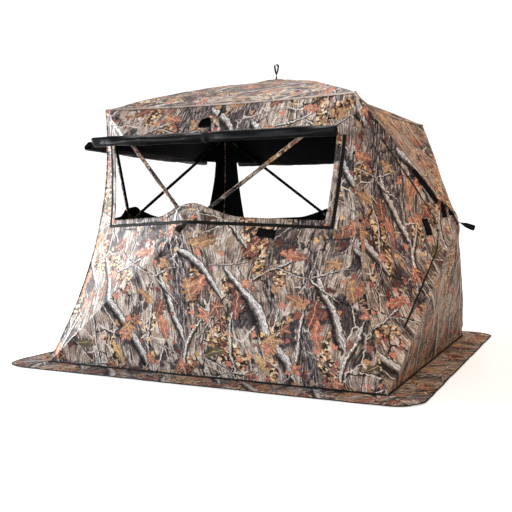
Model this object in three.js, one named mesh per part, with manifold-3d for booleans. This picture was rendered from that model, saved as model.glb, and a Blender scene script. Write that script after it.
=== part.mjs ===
// A pop-up ground blind: four camouflage walls and a roof, each pushed out by a hub with four
// fibreglass poles. Millimetres, +Z up, origin on the ground under the middle of the blind,
// front wall towards -Y. Each wall is a shallow pyramid of cloth whose peak is its hub.
import * as THREE from 'three';
import { mergeVertices } from 'three/addons/utils/BufferGeometryUtils.js';
import Module from 'manifold-3d';

const wasm = await Module();
wasm.setup();

// ---- Driving dimensions ----
const BASE = 1900; // side of the square that the walls make on the ground
const TOP = 1440; // side of the square of the four upper corners
const CORNER_HEIGHT = 1390;
const ROOF_HEIGHT = 1610; // the roof's peak
const HUB_REACH = 1075; // from the blind's axis to a wall's peak
const HUB_HEIGHT = 770;
const EDGE_BOW = 78; // how far the seams and the upper edges pull in at their middles
const SKIRT_WIDTH = 180;
const CLOTH = 3; // cloth with its hems and tapes
const GAP = 0.5; // clearance between neighbouring pieces

const WINDOW = { sill: 780, top: 1192, halfSill: 605, halfTop: 640, humpTop: 868, humpHalf: 290 };
const HUB = { radius: 40, height: 24, knuckle: 29, slotStart: 17, slotWidth: 9, pin: 2, bore: 6 };
const POLE = {
  radius: 5.5, short: 78, tongue: 3.2, tongueEye: 6, tongueLap: 5,
  ferrule: 8, ferruleStart: 15, ferruleEnd: 60, ferruleTaper: 4, tip: 7, tipLength: 18, tipTaper: 4,
};
const POLE_INSET = 20; // a pole's axis lies this far inside the ridge that it holds up
const CAP = {
  radius: 50, thickness: 3, lift: 2, crown: 6, crownRadius: 12, bend: 30, stem: 5.5, stemTop: -6,
};
const TAB = { length: 90, width: 25, bulge: 13, thickness: 3, eye: 5, droop: 21, lift: 6 };
const ROLL = {
  radius: 29, left: 690, right: 683, height: 1198, reach: 872, waist: 4, flare: 30, rounding: 14,
};
const TIE = { width: 25, x: -10 };
// The door's lower edge follows the lower ridge, and its upper edge leaves the upper ridge slowly.
const DOOR = {
  low: 0.3, high: 0.26, lowInset: 42, highInset: 16, noseInset: 104, zip: 9, lowNose: 330, highNose: 240,
};
const BOOT = { length: 30, taper: 0.34 };
const SKIRT_RADIUS = 70; // rounding of the skirt's outer corners
const PATCH = { x: 356, z: 719, width: 80, height: 40, rise: 7, thickness: 2 };
const SLIDER = {
  length: 24, width: 12, height: 7, pull: 46, pullWidth: 9, pullThickness: 2.4, reach: 0.38,
};

// ---- Materials ----
const finish = (color, roughness, metalness = 0) =>
  new THREE.MeshStandardMaterial({ color, roughness, metalness });
const CAMO = finish(0x7a6a58, 0.9);
const CAMO_SKIRT = finish(0x6b5a49, 0.92);
const BLACK_CLOTH = finish(0x121213, 0.45);
const WEBBING = finish(0x1a1a1b, 0.8);
const NYLON = finish(0x161617, 0.5);
const FIBREGLASS = finish(0x26241f, 0.4);
const METAL = finish(0x8d8f92, 0.35, 0.9);

const blind = new THREE.Group();

// ---- Solids ----
function solidOf(geometry) {
  const bare = geometry.clone();
  bare.deleteAttribute('normal');
  bare.deleteAttribute('uv');
  const merged = mergeVertices(bare, 1e-4);
  return new wasm.Manifold(new wasm.Mesh({
    numProp: 3,
    vertProperties: new Float32Array(merged.attributes.position.array),
    triVerts: new Uint32Array(merged.index.array),
  }));
}

function geometryOf(solid) {
  const mesh = solid.getMesh();
  const geometry = new THREE.BufferGeometry();
  geometry.setAttribute('position', new THREE.BufferAttribute(new Float32Array(mesh.vertProperties), 3));
  geometry.setIndex(new THREE.BufferAttribute(new Uint32Array(mesh.triVerts), 1));
  geometry.computeVertexNormals();
  return geometry;
}

function add(name, geometry, material, quarterTurns = 0, parent = blind) {
  const mesh = new THREE.Mesh(geometry, material);
  mesh.name = name;
  mesh.rotation.z = quarterTurns * Math.PI / 2;
  parent.add(mesh);
  return mesh;
}

// A bar of the given outline. The outline lies in X and Z, and the bar runs from nearY to farY.
function barAlongY(shape, nearY, farY, curveSegments = 8) {
  const bar = new THREE.ExtrudeGeometry(shape, {
    depth: farY - nearY, bevelEnabled: false, curveSegments,
  });
  bar.rotateX(Math.PI / 2);
  bar.translate(0, farY, 0);
  return bar;
}

function polygon(points) {
  return new THREE.Shape(points.map(([x, y]) => new THREE.Vector2(x, y)));
}

// ---- The cloth's shape ----
const v3 = (x, y, z) => new THREE.Vector3(x, y, z);
const mix = (a, b, t) => a.clone().lerp(b, t);

// Points along an edge that starts at a and stops short of b, bowed sideways as a parabola.
function bowedEdge(a, b, bow, steps) {
  const points = [];
  for (let i = 0; i < steps; i += 1) {
    const t = i / steps;
    points.push(mix(a, b, t).addScaledVector(bow, 4 * t * (1 - t)));
  }
  return points;
}

// The front wall's edge, anticlockwise as seen from outside.
const FRONT_CORNERS = [
  v3(-BASE / 2, -BASE / 2, 0), v3(BASE / 2, -BASE / 2, 0),
  v3(TOP / 2, -TOP / 2, CORNER_HEIGHT), v3(-TOP / 2, -TOP / 2, CORNER_HEIGHT),
];
const FRONT_HUB = v3(0, -HUB_REACH, HUB_HEIGHT);
const ROOF_HUB = v3(0, 0, ROOF_HEIGHT);

function frontEdge() {
  const [lowLeft, lowRight, highRight, highLeft] = FRONT_CORNERS;
  return [
    ...bowedEdge(lowLeft, lowRight, v3(0, 0, 0), 2),
    ...bowedEdge(lowRight, highRight, v3(-EDGE_BOW, EDGE_BOW, 0), 6),
    ...bowedEdge(highRight, highLeft, v3(0, EDGE_BOW, 0), 6),
    ...bowedEdge(highLeft, lowLeft, v3(EDGE_BOW, EDGE_BOW, 0), 6),
  ];
}

function roofEdge() {
  const half = TOP / 2;
  const signs = [[-1, -1], [1, -1], [1, 1], [-1, 1]];
  const corners = signs.map(([x, y]) => v3(x * half, y * half, CORNER_HEIGHT));
  const inward = [v3(0, EDGE_BOW, 0), v3(-EDGE_BOW, 0, 0), v3(0, -EDGE_BOW, 0), v3(EDGE_BOW, 0, 0)];
  return corners.flatMap((corner, i) => bowedEdge(corner, corners[(i + 1) % 4], inward[i], 6));
}

// A sheet of cloth drawn from an edge towards a peak, with a hole round the peak. The sheet's
// outer face is on the cone itself, and its inner face is the same cone moved along `inward`.
const SEAM_GAP = 0.006; // share of the way to the peak that the edge keeps clear of the seam
const HUB_HOLE = 0.92; // share of the way to the peak at which the hole starts

function clothCone(edge, peak, inward, thickness) {
  const count = edge.length;
  const shift = inward.clone().multiplyScalar(thickness);
  const rim = edge.map((point) => mix(point, peak, SEAM_GAP));
  const hole = edge.map((point) => mix(point, peak, HUB_HOLE));
  const rings = [rim, hole, rim.map((p) => p.clone().add(shift)), hole.map((p) => p.clone().add(shift))];
  const positions = rings.flat().flatMap((p) => [p.x, p.y, p.z]);
  const faces = [];
  const quad = (a, b, c, d) => faces.push(a, b, c, a, c, d);
  for (let i = 0; i < count; i += 1) {
    const next = (i + 1) % count;
    const [rimA, rimB, holeA, holeB] = [i, next, count + i, count + next];
    const [backA, backB, farA, farB] = [2 * count + i, 2 * count + next, 3 * count + i, 3 * count + next];
    quad(rimA, rimB, holeB, holeA);
    quad(backB, backA, farA, farB);
    quad(backA, backB, rimB, rimA);
    quad(holeA, holeB, farB, farA);
  }
  const geometry = new THREE.BufferGeometry();
  geometry.setAttribute('position', new THREE.Float32BufferAttribute(positions, 3));
  geometry.setIndex(faces);
  return geometry;
}

// The direction square to the plane of the front wall's four corners, into the blind.
const WALL_LEAN = Math.atan2((BASE - TOP) / 2, CORNER_HEIGHT);
const FRONT_INWARD = v3(0, Math.cos(WALL_LEAN), -Math.sin(WALL_LEAN));
const ROOF_INWARD = v3(0, 0, -1);

// ---- Walls, windows and roof ----
const CUT_NEAR = -1300;
const CUT_FAR = -300;

function windowOutline() {
  const { sill, top, halfSill, halfTop, humpTop, humpHalf } = WINDOW;
  const shape = new THREE.Shape();
  const shoulder = humpHalf / 2;
  shape.moveTo(-halfSill, sill);
  shape.lineTo(-humpHalf, sill);
  shape.bezierCurveTo(-shoulder, sill, -shoulder, humpTop, 0, humpTop);
  shape.bezierCurveTo(shoulder, humpTop, shoulder, sill, humpHalf, sill);
  shape.lineTo(halfSill, sill);
  shape.lineTo(halfTop, top);
  shape.lineTo(-halfTop, top);
  shape.closePath();
  return shape;
}

const plainWall = solidOf(clothCone(frontEdge(), FRONT_HUB, FRONT_INWARD, CLOTH));
const windowCut = solidOf(barAlongY(windowOutline(), CUT_NEAR, CUT_FAR, 5));
const windowWall = geometryOf(plainWall.subtract(windowCut));

// A line in the wall's front view beside the ridge from a corner to the hub. It starts `inset` to
// one side of the corner and ends `hubInset` to the same side of the hub.
function ridgeLine(corner, inset, hubInset, side) {
  const from = new THREE.Vector2(corner.x, corner.z);
  const to = new THREE.Vector2(FRONT_HUB.x, FRONT_HUB.z);
  const ridge = to.clone().sub(from).normalize();
  const square = new THREE.Vector2(-ridge.y, ridge.x).multiplyScalar(side);
  from.addScaledVector(square, inset);
  to.addScaledVector(square, hubInset);
  const along = to.clone().sub(from).normalize();
  return {
    from,
    along,
    at: (share) => from.clone().lerp(to, share).toArray(),
    before: (length) => to.clone().addScaledVector(along, -length).toArray(),
  };
}

function meeting(one, other) {
  const apart = other.from.clone().sub(one.from);
  const reach = apart.cross(other.along) / one.along.cross(other.along);
  return one.from.clone().addScaledVector(one.along, reach).toArray();
}

// The two straight stretches of the door's free edge, drawn in by `margin`.
function doorLower(margin) {
  const inset = DOOR.lowInset + margin;
  return ridgeLine(FRONT_CORNERS[0], inset, inset, 1);
}

function doorUpper(margin) {
  return ridgeLine(FRONT_CORNERS[3], DOOR.highInset + margin, DOOR.noseInset + margin, -1);
}

// The door's fold, a straight line beside the seam, moved towards the hub by `shift`.
function foldLine(shift) {
  const from = new THREE.Vector2(...doorLower(0).at(DOOR.low));
  const along = new THREE.Vector2(...doorUpper(0).at(DOOR.high)).sub(from).normalize();
  from.x += shift;
  return { from, along };
}

// The door's outline on the left facet of a wall: the fold, then the upper edge, a round nose
// beside the hub and the lower edge. `margin` draws the free edges in.
function doorOutline(margin) {
  const [lower, upper, fold] = [doorLower(margin), doorUpper(margin), foldLine(margin > 0 ? GAP : 0)];
  const shape = new THREE.Shape();
  shape.moveTo(...meeting(fold, upper));
  shape.lineTo(...meeting(fold, lower));
  shape.lineTo(...lower.before(DOOR.lowNose));
  shape.quadraticCurveTo(...meeting(lower, upper), ...upper.before(DOOR.highNose));
  shape.closePath();
  return shape;
}

const doorCut = (margin) => solidOf(barAlongY(doorOutline(margin), CUT_NEAR, CUT_FAR, 6));
const doorWall = geometryOf(plainWall.subtract(doorCut(0)));
const zipRing = plainWall.intersect(doorCut(GAP)).subtract(doorCut(DOOR.zip));
const doorPanel = geometryOf(plainWall.intersect(doorCut(DOOR.zip + GAP)));

add('wall_front', windowWall, CAMO, 0);
add('wall_right', doorWall, CAMO, 1);
add('wall_back', windowWall, CAMO, 2);
add('wall_left', windowWall, CAMO, 3);
add('roof', geometryOf(solidOf(clothCone(roofEdge(), ROOF_HUB, ROOF_INWARD, CLOTH))), CAMO);
add('door_panel', doorPanel, CAMO, 1);

// The zip runs along the door's free edges only, and stops short of the fold at both ends.
const ZIP_CLEAR = 45;
function foldStrip() {
  const { from, along } = foldLine(ZIP_CLEAR);
  const low = from.clone().addScaledVector(along, -BASE);
  const high = from.clone().addScaledVector(along, 2 * BASE);
  return polygon([[low.x - BASE, low.y], low.toArray(), high.toArray(), [high.x - BASE, high.y]]);
}
const zip = zipRing.subtract(solidOf(barAlongY(foldStrip(), CUT_NEAR, CUT_FAR)));
add('door_zip', geometryOf(zip), WEBBING, 1);

// The slider rides outside the zip's lower stretch, which runs towards the hub. It is drawn along
// +X, with +Z out of the cloth, and its pull lies over it.
function facetSurface(along, towardsHub) {
  const seam = mix(FRONT_CORNERS[0], FRONT_CORNERS[3], along);
  seam.addScaledVector(v3(EDGE_BOW, EDGE_BOW, 0), 4 * along * (1 - along));
  return mix(seam, FRONT_HUB, towardsHub);
}

function zipPoint(towardsHub) {
  const ridge = FRONT_HUB.clone().sub(FRONT_CORNERS[0]);
  const seam = FRONT_CORNERS[3].clone().sub(FRONT_CORNERS[0]);
  const [run, rise] = [new THREE.Vector2(ridge.x, ridge.z), new THREE.Vector2(seam.x, seam.z)];
  const seamReach = Math.abs(run.clone().normalize().cross(rise));
  const inset = DOOR.lowInset + DOOR.zip / 2;
  return facetSurface(inset / (seamReach * (1 - towardsHub)), towardsHub);
}

function addSlider() {
  const { length, width, height, pull, pullWidth, pullThickness, reach } = SLIDER;
  const start = zipPoint(reach);
  const along = zipPoint(reach * 1.5).sub(start).normalize();
  const across = facetSurface(0.5, reach).sub(start).cross(along).normalize();
  const body = new THREE.Shape();
  body.moveTo(-length / 2, -width / 2);
  body.quadraticCurveTo(0, -width / 3, length / 2, -width / 2);
  body.lineTo(length / 2, width / 2);
  body.quadraticCurveTo(0, width / 3, -length / 2, width / 2);
  body.closePath();
  const shell = new THREE.ExtrudeGeometry(body, { depth: height, bevelEnabled: false, curveSegments: 4 });
  const handle = new THREE.BoxGeometry(pull, pullWidth, pullThickness);
  handle.translate(-pull / 2, 0, height + pullThickness / 2 - 1);
  const turned = new THREE.Group();
  turned.rotation.z = Math.PI / 2;
  blind.add(turned);
  const slider = add('zip_slider', geometryOf(solidOf(shell).add(solidOf(handle))), METAL, 0, turned);
  const out = across.dot(FRONT_INWARD) > 0 ? across.clone().negate() : across;
  const side = out.clone().cross(along);
  slider.quaternion.setFromRotationMatrix(new THREE.Matrix4().makeBasis(along, side, out));
  slider.position.copy(start).addScaledVector(out, CLOTH);
}
addSlider();

// A plain woven patch sewn to the front wall just under the window, on its right facet.
function patchGeometry() {
  const { x, z, width, height, rise, thickness } = PATCH;
  const outward = FRONT_INWARD.clone().multiplyScalar(-(thickness + GAP));
  const layer = clothCone(frontEdge(), FRONT_HUB, FRONT_INWARD, thickness);
  layer.translate(outward.x, outward.y, outward.z);
  const [left, right, low, high] = [x - width / 2, x + width / 2, z - height / 2, z + height / 2];
  const outline = polygon([
    [left, low + rise], [right, low - rise], [right, high - rise], [left, high + rise],
  ]);
  return geometryOf(solidOf(layer).intersect(solidOf(barAlongY(outline, CUT_NEAR, CUT_FAR))));
}
add('patch_front', patchGeometry(), WEBBING);

// ---- Skirt ----
function skirtPiece() {
  const inner = BASE / 2 + GAP;
  const outer = inner + SKIRT_WIDTH;
  const shape = new THREE.Shape();
  const mitre = GAP;
  const shoulder = outer - SKIRT_RADIUS;
  const cut = SKIRT_RADIUS * (1 - Math.SQRT1_2);
  shape.moveTo(-inner + mitre, -inner);
  shape.lineTo(-outer + cut + mitre, -outer + cut);
  shape.quadraticCurveTo(-shoulder - cut / 2, -outer, -shoulder, -outer);
  shape.lineTo(shoulder, -outer);
  shape.quadraticCurveTo(shoulder + cut / 2, -outer, outer - cut - mitre, -outer + cut);
  shape.lineTo(inner - mitre, -inner);
  shape.closePath();
  return new THREE.ExtrudeGeometry(shape, { depth: CLOTH, bevelEnabled: false, curveSegments: 4 });
}
const SIDES = ['front', 'right', 'back', 'left'];
SIDES.forEach((side, turn) => add(`skirt_${side}`, skirtPiece(), CAMO_SKIRT, turn));

// ---- Corner boots: the stitched pads inside the eight corners, where the pole tips press ----
// A boot is a blunt cone that keeps clear of the walls and of the pole tips' path.
function bootGeometry() {
  const radius = BOOT.length * BOOT.taper;
  const profile = [[0, 0], [radius * 0.5, 0], [radius, BOOT.length], [0, BOOT.length]];
  const boot = new THREE.LatheGeometry(profile.map(([x, y]) => new THREE.Vector2(x, y)), 8);
  boot.rotateX(Math.PI / 2);
  return boot;
}

function addBoot(name, corner, turn) {
  const turned = new THREE.Group();
  turned.rotation.z = turn * Math.PI / 2;
  blind.add(turned);
  const aim = v3(0, 0, HUB_HEIGHT).sub(corner).normalize();
  const boot = add(name, bootGeometry(), BLACK_CLOTH, 0, turned);
  boot.position.copy(corner).addScaledVector(aim, BOOT.length * 0.5);
  boot.quaternion.setFromUnitVectors(v3(0, 0, 1), aim);
}
const CORNER_NAMES = ['front_left', 'front_right', 'back_right', 'back_left'];
CORNER_NAMES.forEach((corner, turn) => {
  addBoot(`boot_lower_${corner}`, FRONT_CORNERS[0], turn);
  addBoot(`boot_upper_${corner}`, FRONT_CORNERS[3], turn);
});

// ---- Hubs, caps, pull tabs and poles ----
// Each hub is drawn round its own axis, +Z pointing out of the blind and +Y up the wall, with the
// cloth's peak at the origin. `frameOf` stands that drawing on a wall or on the roof.
function cylinder(radius, height, segments) {
  const bar = new THREE.CylinderGeometry(radius, radius, height, segments);
  return bar.rotateX(Math.PI / 2);
}

function frameOf(turn) {
  const frame = new THREE.Group();
  if (turn === null) {
    frame.position.copy(ROOF_HUB);
    blind.add(frame);
    return frame;
  }
  const turned = new THREE.Group();
  turned.rotation.z = turn * Math.PI / 2;
  blind.add(turned);
  frame.position.copy(FRONT_HUB);
  frame.rotation.x = Math.PI / 2 - WALL_LEAN;
  turned.add(frame);
  return frame;
}

// The corners that a hub's poles reach, in the hub's own drawing.
function polesOf(turn) {
  if (turn === null) {
    const half = TOP / 2;
    const drop = CORNER_HEIGHT - ROOF_HEIGHT;
    return [[-1, -1], [1, -1], [1, 1], [-1, 1]].map(([x, y]) => v3(x * half, y * half, drop));
  }
  const back = new THREE.Matrix4().makeRotationX(WALL_LEAN - Math.PI / 2);
  return FRONT_CORNERS.map((corner) => corner.clone().sub(FRONT_HUB).applyMatrix4(back));
}

// Where a pole's knuckle is, and which way the pole runs, for a pole that reaches `corner`.
function poleLine(corner) {
  const flat = v3(corner.x, corner.y, 0);
  const outward = flat.clone().normalize();
  const slope = corner.z / flat.length();
  const knuckle = outward.clone().multiplyScalar(HUB.knuckle);
  knuckle.z = slope * HUB.knuckle - POLE_INSET;
  const direction = v3(outward.x, outward.y, slope).normalize();
  const length = corner.clone().sub(knuckle).dot(direction) - POLE.short;
  return { outward, knuckle, direction, length };
}

function hubSolid(poles) {
  const middle = poles.reduce((sum, pole) => sum + pole.knuckle.z, 0) / poles.length;
  let body = solidOf(cylinder(HUB.radius, HUB.height, 24).translate(0, 0, middle));
  body = body.subtract(solidOf(cylinder(HUB.bore, HUB.height * 2, 8).translate(0, 0, middle)));
  for (const { outward, knuckle } of poles) {
    const turn = Math.atan2(outward.y, outward.x);
    const slot = new THREE.BoxGeometry(HUB.radius, HUB.slotWidth, HUB.height * 2);
    slot.translate(HUB.radius / 2 + HUB.slotStart, 0, middle);
    body = body.subtract(solidOf(slot.rotateZ(turn)));
    const pin = new THREE.CylinderGeometry(HUB.pin, HUB.pin, HUB.slotWidth + 4, 6);
    pin.translate(HUB.knuckle, 0, knuckle.z);
    body = body.add(solidOf(pin.rotateZ(turn)));
  }
  return geometryOf(body);
}

// A pole drawn along +X from its knuckle, which turns about Y: a flat tongue with its pin hole, a
// ferrule, the long fibreglass rod and a blunt tip.
function poleSolid(length) {
  const { radius, tongue, tongueEye, tongueLap, ferrule, ferruleStart, ferruleEnd, tip } = POLE;
  const tipStart = length - POLE.tipLength;
  const profile = [
    [0, ferruleStart], [ferrule, ferruleStart], [ferrule, ferruleEnd],
    [radius, ferruleEnd + POLE.ferruleTaper], [radius, tipStart - POLE.tipTaper],
    [tip, tipStart], [radius, length], [0, length],
  ];
  const rod = new THREE.LatheGeometry(profile.map(([x, y]) => new THREE.Vector2(x, y)), 8);
  rod.rotateZ(-Math.PI / 2);
  const plate = new THREE.Shape();
  plate.moveTo(ferruleStart + tongueLap, -tongueEye);
  plate.lineTo(ferruleStart + tongueLap, tongueEye);
  plate.lineTo(0, tongueEye);
  plate.absarc(0, 0, tongueEye, Math.PI / 2, 3 * Math.PI / 2, false);
  plate.closePath();
  const hole = new THREE.Path();
  hole.absarc(0, 0, HUB.pin + GAP, 0, 2 * Math.PI, true);
  plate.holes.push(hole);
  const flat = new THREE.ExtrudeGeometry(plate, { depth: 2 * tongue, bevelEnabled: false, curveSegments: 4 });
  flat.translate(0, 0, -tongue);
  flat.rotateX(Math.PI / 2);
  return geometryOf(solidOf(rod).add(solidOf(flat)));
}

function addPole(name, pole, frame) {
  const { outward, knuckle, direction, length } = pole;
  const side = v3(0, 0, 1).cross(outward);
  const up = direction.clone().cross(side);
  const mesh = add(name, poleSolid(length), FIBREGLASS, 0, frame);
  mesh.quaternion.setFromRotationMatrix(new THREE.Matrix4().makeBasis(direction, side, up));
  mesh.position.copy(knuckle);
}

// The cap outside the cloth follows the cloth's slope, and its stem drops into the hub's bore.
function capGeometry(slope, stemEnd) {
  const { radius, thickness, lift, crown, crownRadius, bend, stem, stemTop } = CAP;
  const under = (reach) => lift - reach * slope;
  const profile = [
    [0, crown], [crownRadius, crown - thickness / 2], [bend, under(bend) + thickness],
    [radius, under(radius) + thickness / 3], [radius, under(radius) - thickness * 2 / 3],
    [bend, under(bend) - thickness], [stem, stemTop], [stem, stemEnd], [0, stemEnd],
  ];
  const cap = new THREE.LatheGeometry(profile.map(([x, y]) => new THREE.Vector2(x, y)).reverse(), 16);
  return cap.rotateX(Math.PI / 2);
}

// A pull tab is a strap folded into a loop and sewn to itself for most of its length.
function tabGeometry() {
  const { length, width, bulge, thickness, eye } = TAB;
  const sewn = length * 0.35;
  const parting = length * 0.45;
  const swell = length * 0.7;
  const strap = new THREE.Shape();
  strap.moveTo(0, -thickness);
  strap.lineTo(sewn, -thickness);
  strap.quadraticCurveTo(swell, -bulge, length - bulge, -bulge);
  strap.absarc(length - bulge, 0, bulge, -Math.PI / 2, Math.PI / 2, false);
  strap.quadraticCurveTo(swell, bulge, sewn, thickness);
  strap.lineTo(0, thickness);
  strap.closePath();
  const gap = new THREE.Path();
  gap.moveTo(parting, 0);
  gap.quadraticCurveTo(swell, bulge - thickness, length - bulge, bulge - thickness);
  gap.absarc(length - bulge, 0, bulge - thickness, Math.PI / 2, -Math.PI / 2, true);
  gap.quadraticCurveTo(swell, thickness - bulge, parting, 0);
  strap.holes.push(gap);
  const tab = new THREE.ExtrudeGeometry(strap, { depth: width, bevelEnabled: false, curveSegments: 4 });
  tab.translate(eye, 0, -width / 2);
  return geometryOf(solidOf(tab));
}

const POLE_NAMES = ['lower_left', 'lower_right', 'upper_right', 'upper_left'];
const ROOF_POLE_NAMES = ['front_left', 'front_right', 'back_right', 'back_left'];

function addHub(side, turn) {
  const frame = frameOf(turn);
  const corners = polesOf(turn);
  const poles = corners.map(poleLine);
  const names = turn === null ? ROOF_POLE_NAMES : POLE_NAMES;
  add(`hub_${side}`, hubSolid(poles), NYLON, 0, frame);
  poles.forEach((pole, i) => addPole(`pole_${side}_${names[i]}`, pole, frame));
  const steepest = Math.max(...corners.map((corner) => -corner.z / Math.hypot(corner.x, corner.y)));
  add(`cap_${side}`, capGeometry(steepest, -POLE_INSET - HUB.height / 2), NYLON, 0, frame);
  const tab = add(`pull_tab_${side}`, tabGeometry(), WEBBING, 0, frame);
  tab.position.z = TAB.lift;
  const droop = turn === null ? 0 : THREE.MathUtils.degToRad(TAB.droop) + WALL_LEAN;
  const out = v3(0, -Math.sin(droop), Math.cos(droop));
  const across = turn === null ? v3(0, -1, 0) : v3(1, 0, 0);
  const thick = across.clone().cross(out);
  tab.quaternion.setFromRotationMatrix(new THREE.Matrix4().makeBasis(out, thick, out.clone().cross(thick)));
}
SIDES.forEach(addHub);
addHub('roof', null);

// ---- Rolled window covers ----
// Each cover is rolled up against the two upper ridges, above its window. A strap ties the front one.
function rollGeometry(cutForTie) {
  const { radius, left, right, height, reach, flare, rounding } = ROLL;
  const length = left + right;
  const end = radius - rounding / 2;
  const waist = cutForTie ? radius - ROLL.waist : radius;
  const tieLow = left + TIE.x - TIE.width / 2;
  const tieHigh = left + TIE.x + TIE.width / 2;
  const profile = [
    [0, 0], [end, 0], [radius, rounding], [radius, tieLow - flare], [waist, tieLow], [waist, tieHigh],
    [radius, tieHigh + flare], [radius, length - rounding], [end, length], [0, length],
  ];
  const roll = new THREE.LatheGeometry(profile.map(([x, y]) => new THREE.Vector2(x, y)), 12);
  roll.rotateZ(-Math.PI / 2);
  return roll.translate(-left, -reach, height);
}

function tieGeometry() {
  const inner = ROLL.radius - ROLL.waist + GAP;
  const outer = inner + CLOTH;
  const profile = [[inner, 0], [outer, 0], [outer, TIE.width], [inner, TIE.width], [inner, 0]];
  const tie = new THREE.LatheGeometry(profile.map(([x, y]) => new THREE.Vector2(x, y)), 12);
  tie.rotateZ(-Math.PI / 2);
  return geometryOf(solidOf(tie.translate(TIE.x - TIE.width / 2, -ROLL.reach, ROLL.height)));
}

add('window_roll_front', rollGeometry(true), BLACK_CLOTH, 0);
add('window_roll_back', rollGeometry(false), BLACK_CLOTH, 2);
add('window_roll_left', rollGeometry(false), BLACK_CLOTH, 3);
add('roll_tie_front', tieGeometry(), WEBBING, 0);

export default blind;
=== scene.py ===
"""The looks of a pop-up ground blind: printed camouflage cloth pushed out by sprung hubs and poles.

Metres, +Z up, the front wall towards -Y. Every wall is drawn as the front wall and then turned
about Z. A wall is a shallow pyramid of cloth: `pull` says how far a point lies on the way from
the wall's edge, 0, to its hub, 1.
"""

import math

import bpy
import numpy as np
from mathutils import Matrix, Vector


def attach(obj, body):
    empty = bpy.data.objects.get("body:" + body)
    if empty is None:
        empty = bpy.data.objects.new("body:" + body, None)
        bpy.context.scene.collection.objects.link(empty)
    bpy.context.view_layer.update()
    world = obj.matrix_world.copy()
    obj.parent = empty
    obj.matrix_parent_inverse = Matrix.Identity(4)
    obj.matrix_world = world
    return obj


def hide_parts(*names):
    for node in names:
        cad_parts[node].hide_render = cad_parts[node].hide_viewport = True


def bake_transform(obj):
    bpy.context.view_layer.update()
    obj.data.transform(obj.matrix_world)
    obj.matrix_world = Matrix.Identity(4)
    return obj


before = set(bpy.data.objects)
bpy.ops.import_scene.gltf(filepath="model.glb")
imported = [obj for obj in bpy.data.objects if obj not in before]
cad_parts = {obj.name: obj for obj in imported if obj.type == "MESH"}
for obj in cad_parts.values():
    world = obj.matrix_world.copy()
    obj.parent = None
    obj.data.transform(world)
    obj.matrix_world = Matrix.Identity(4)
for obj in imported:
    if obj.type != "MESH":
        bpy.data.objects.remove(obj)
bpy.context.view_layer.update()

# ---- Driving dimensions, as the CAD frame has them ----
BASE = 1.90
TOP = 1.44
CORNER_HEIGHT = 1.39
ROOF_HEIGHT = 1.61
HUB_REACH = 1.075
HUB_HEIGHT = 0.77
EDGE_BOW = 0.078
SKIRT_WIDTH = 0.18
SKIRT_CORNER = 0.15
WALL_LEAN = math.atan2((BASE - TOP) / 2, CORNER_HEIGHT)
OUTWARD = np.array([0.0, -math.cos(WALL_LEAN), math.sin(WALL_LEAN)])
FRONT_HUB = np.array([0.0, -HUB_REACH, HUB_HEIGHT])
ROOF_HUB = np.array([0.0, 0.0, ROOF_HEIGHT])
SIDES = ("front", "right", "back", "left")
WINDOW_SIDES = ("front", "back", "left")

WINDOW = {"sill": 0.78, "top": 1.192, "half_sill": 0.605, "half_top": 0.64, "rise": 0.028,
          "hump": 0.058, "hump_half": 0.24}
CLOTH = 0.0012
CLOTH_STEP = 0.021


# ---- Camera and light ----
def make_camera():
    camera = bpy.data.objects.new("camera", bpy.data.cameras.new("camera"))
    bpy.context.scene.collection.objects.link(camera)
    camera.location = (1.8277, -4.2325, 0.80)
    camera.rotation_euler = (math.radians(90 - 2.957), 0, math.radians(24.884))
    camera.data.lens = 53.45
    camera.data.sensor_width = 36
    bpy.context.scene.camera = camera


# name, place, aim, size in metres, power in watts, colour
LIGHTS = (
    ("key_left", (-5.3, -1.75, 1.25), (-0.3, -0.7, 0.7), 2.0, 480, (0.93, 0.97, 1.0)),
    ("overhead", (-1.2, 1.6, 5.4), (0, 0, 0.6), 4.5, 130, (1, 1, 1)),
    ("warm_right", (3.4, 0.7, 5.2), (0.3, 0, 0.7), 2.6, 165, (1.0, 0.66, 0.42)),
    ("front_fill", (1.0, -6.8, 1.7), (0.0, -0.6, 0.6), 4.0, 212, (0.88, 0.95, 1.0)),
)
# The studio's own light, by the side that it comes from.
FROM_LEFT, FROM_RIGHT = (0.54, 0.57, 0.60, 1), (0.27, 0.17, 0.11, 1)
FROM_BEHIND, FROM_ABOVE = (0.16, 0.13, 0.11, 1), (0.26, 0.25, 0.24, 1)
BACKGROUND = (1.1, 1.1, 1.1, 1)
FLOOR_HALF, FLOOR_DROP = 30, 0.0005
PAPER = (0.62, 0.62, 0.62, 1)
PAPER_GLOW, PAPER_GLOW_FAR = 0.55, 1.05


def soft_box(name, place, aim, size, power, colour):
    data = bpy.data.lights.new(name, "AREA")
    data.shape = "SQUARE"
    data.size = size
    data.energy = power
    data.color = colour
    lamp = bpy.data.objects.new(name, data)
    bpy.context.scene.collection.objects.link(lamp)
    lamp.location = place
    lamp.rotation_euler = (Vector(aim) - Vector(place)).to_track_quat("-Z", "Y").to_euler()


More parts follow.
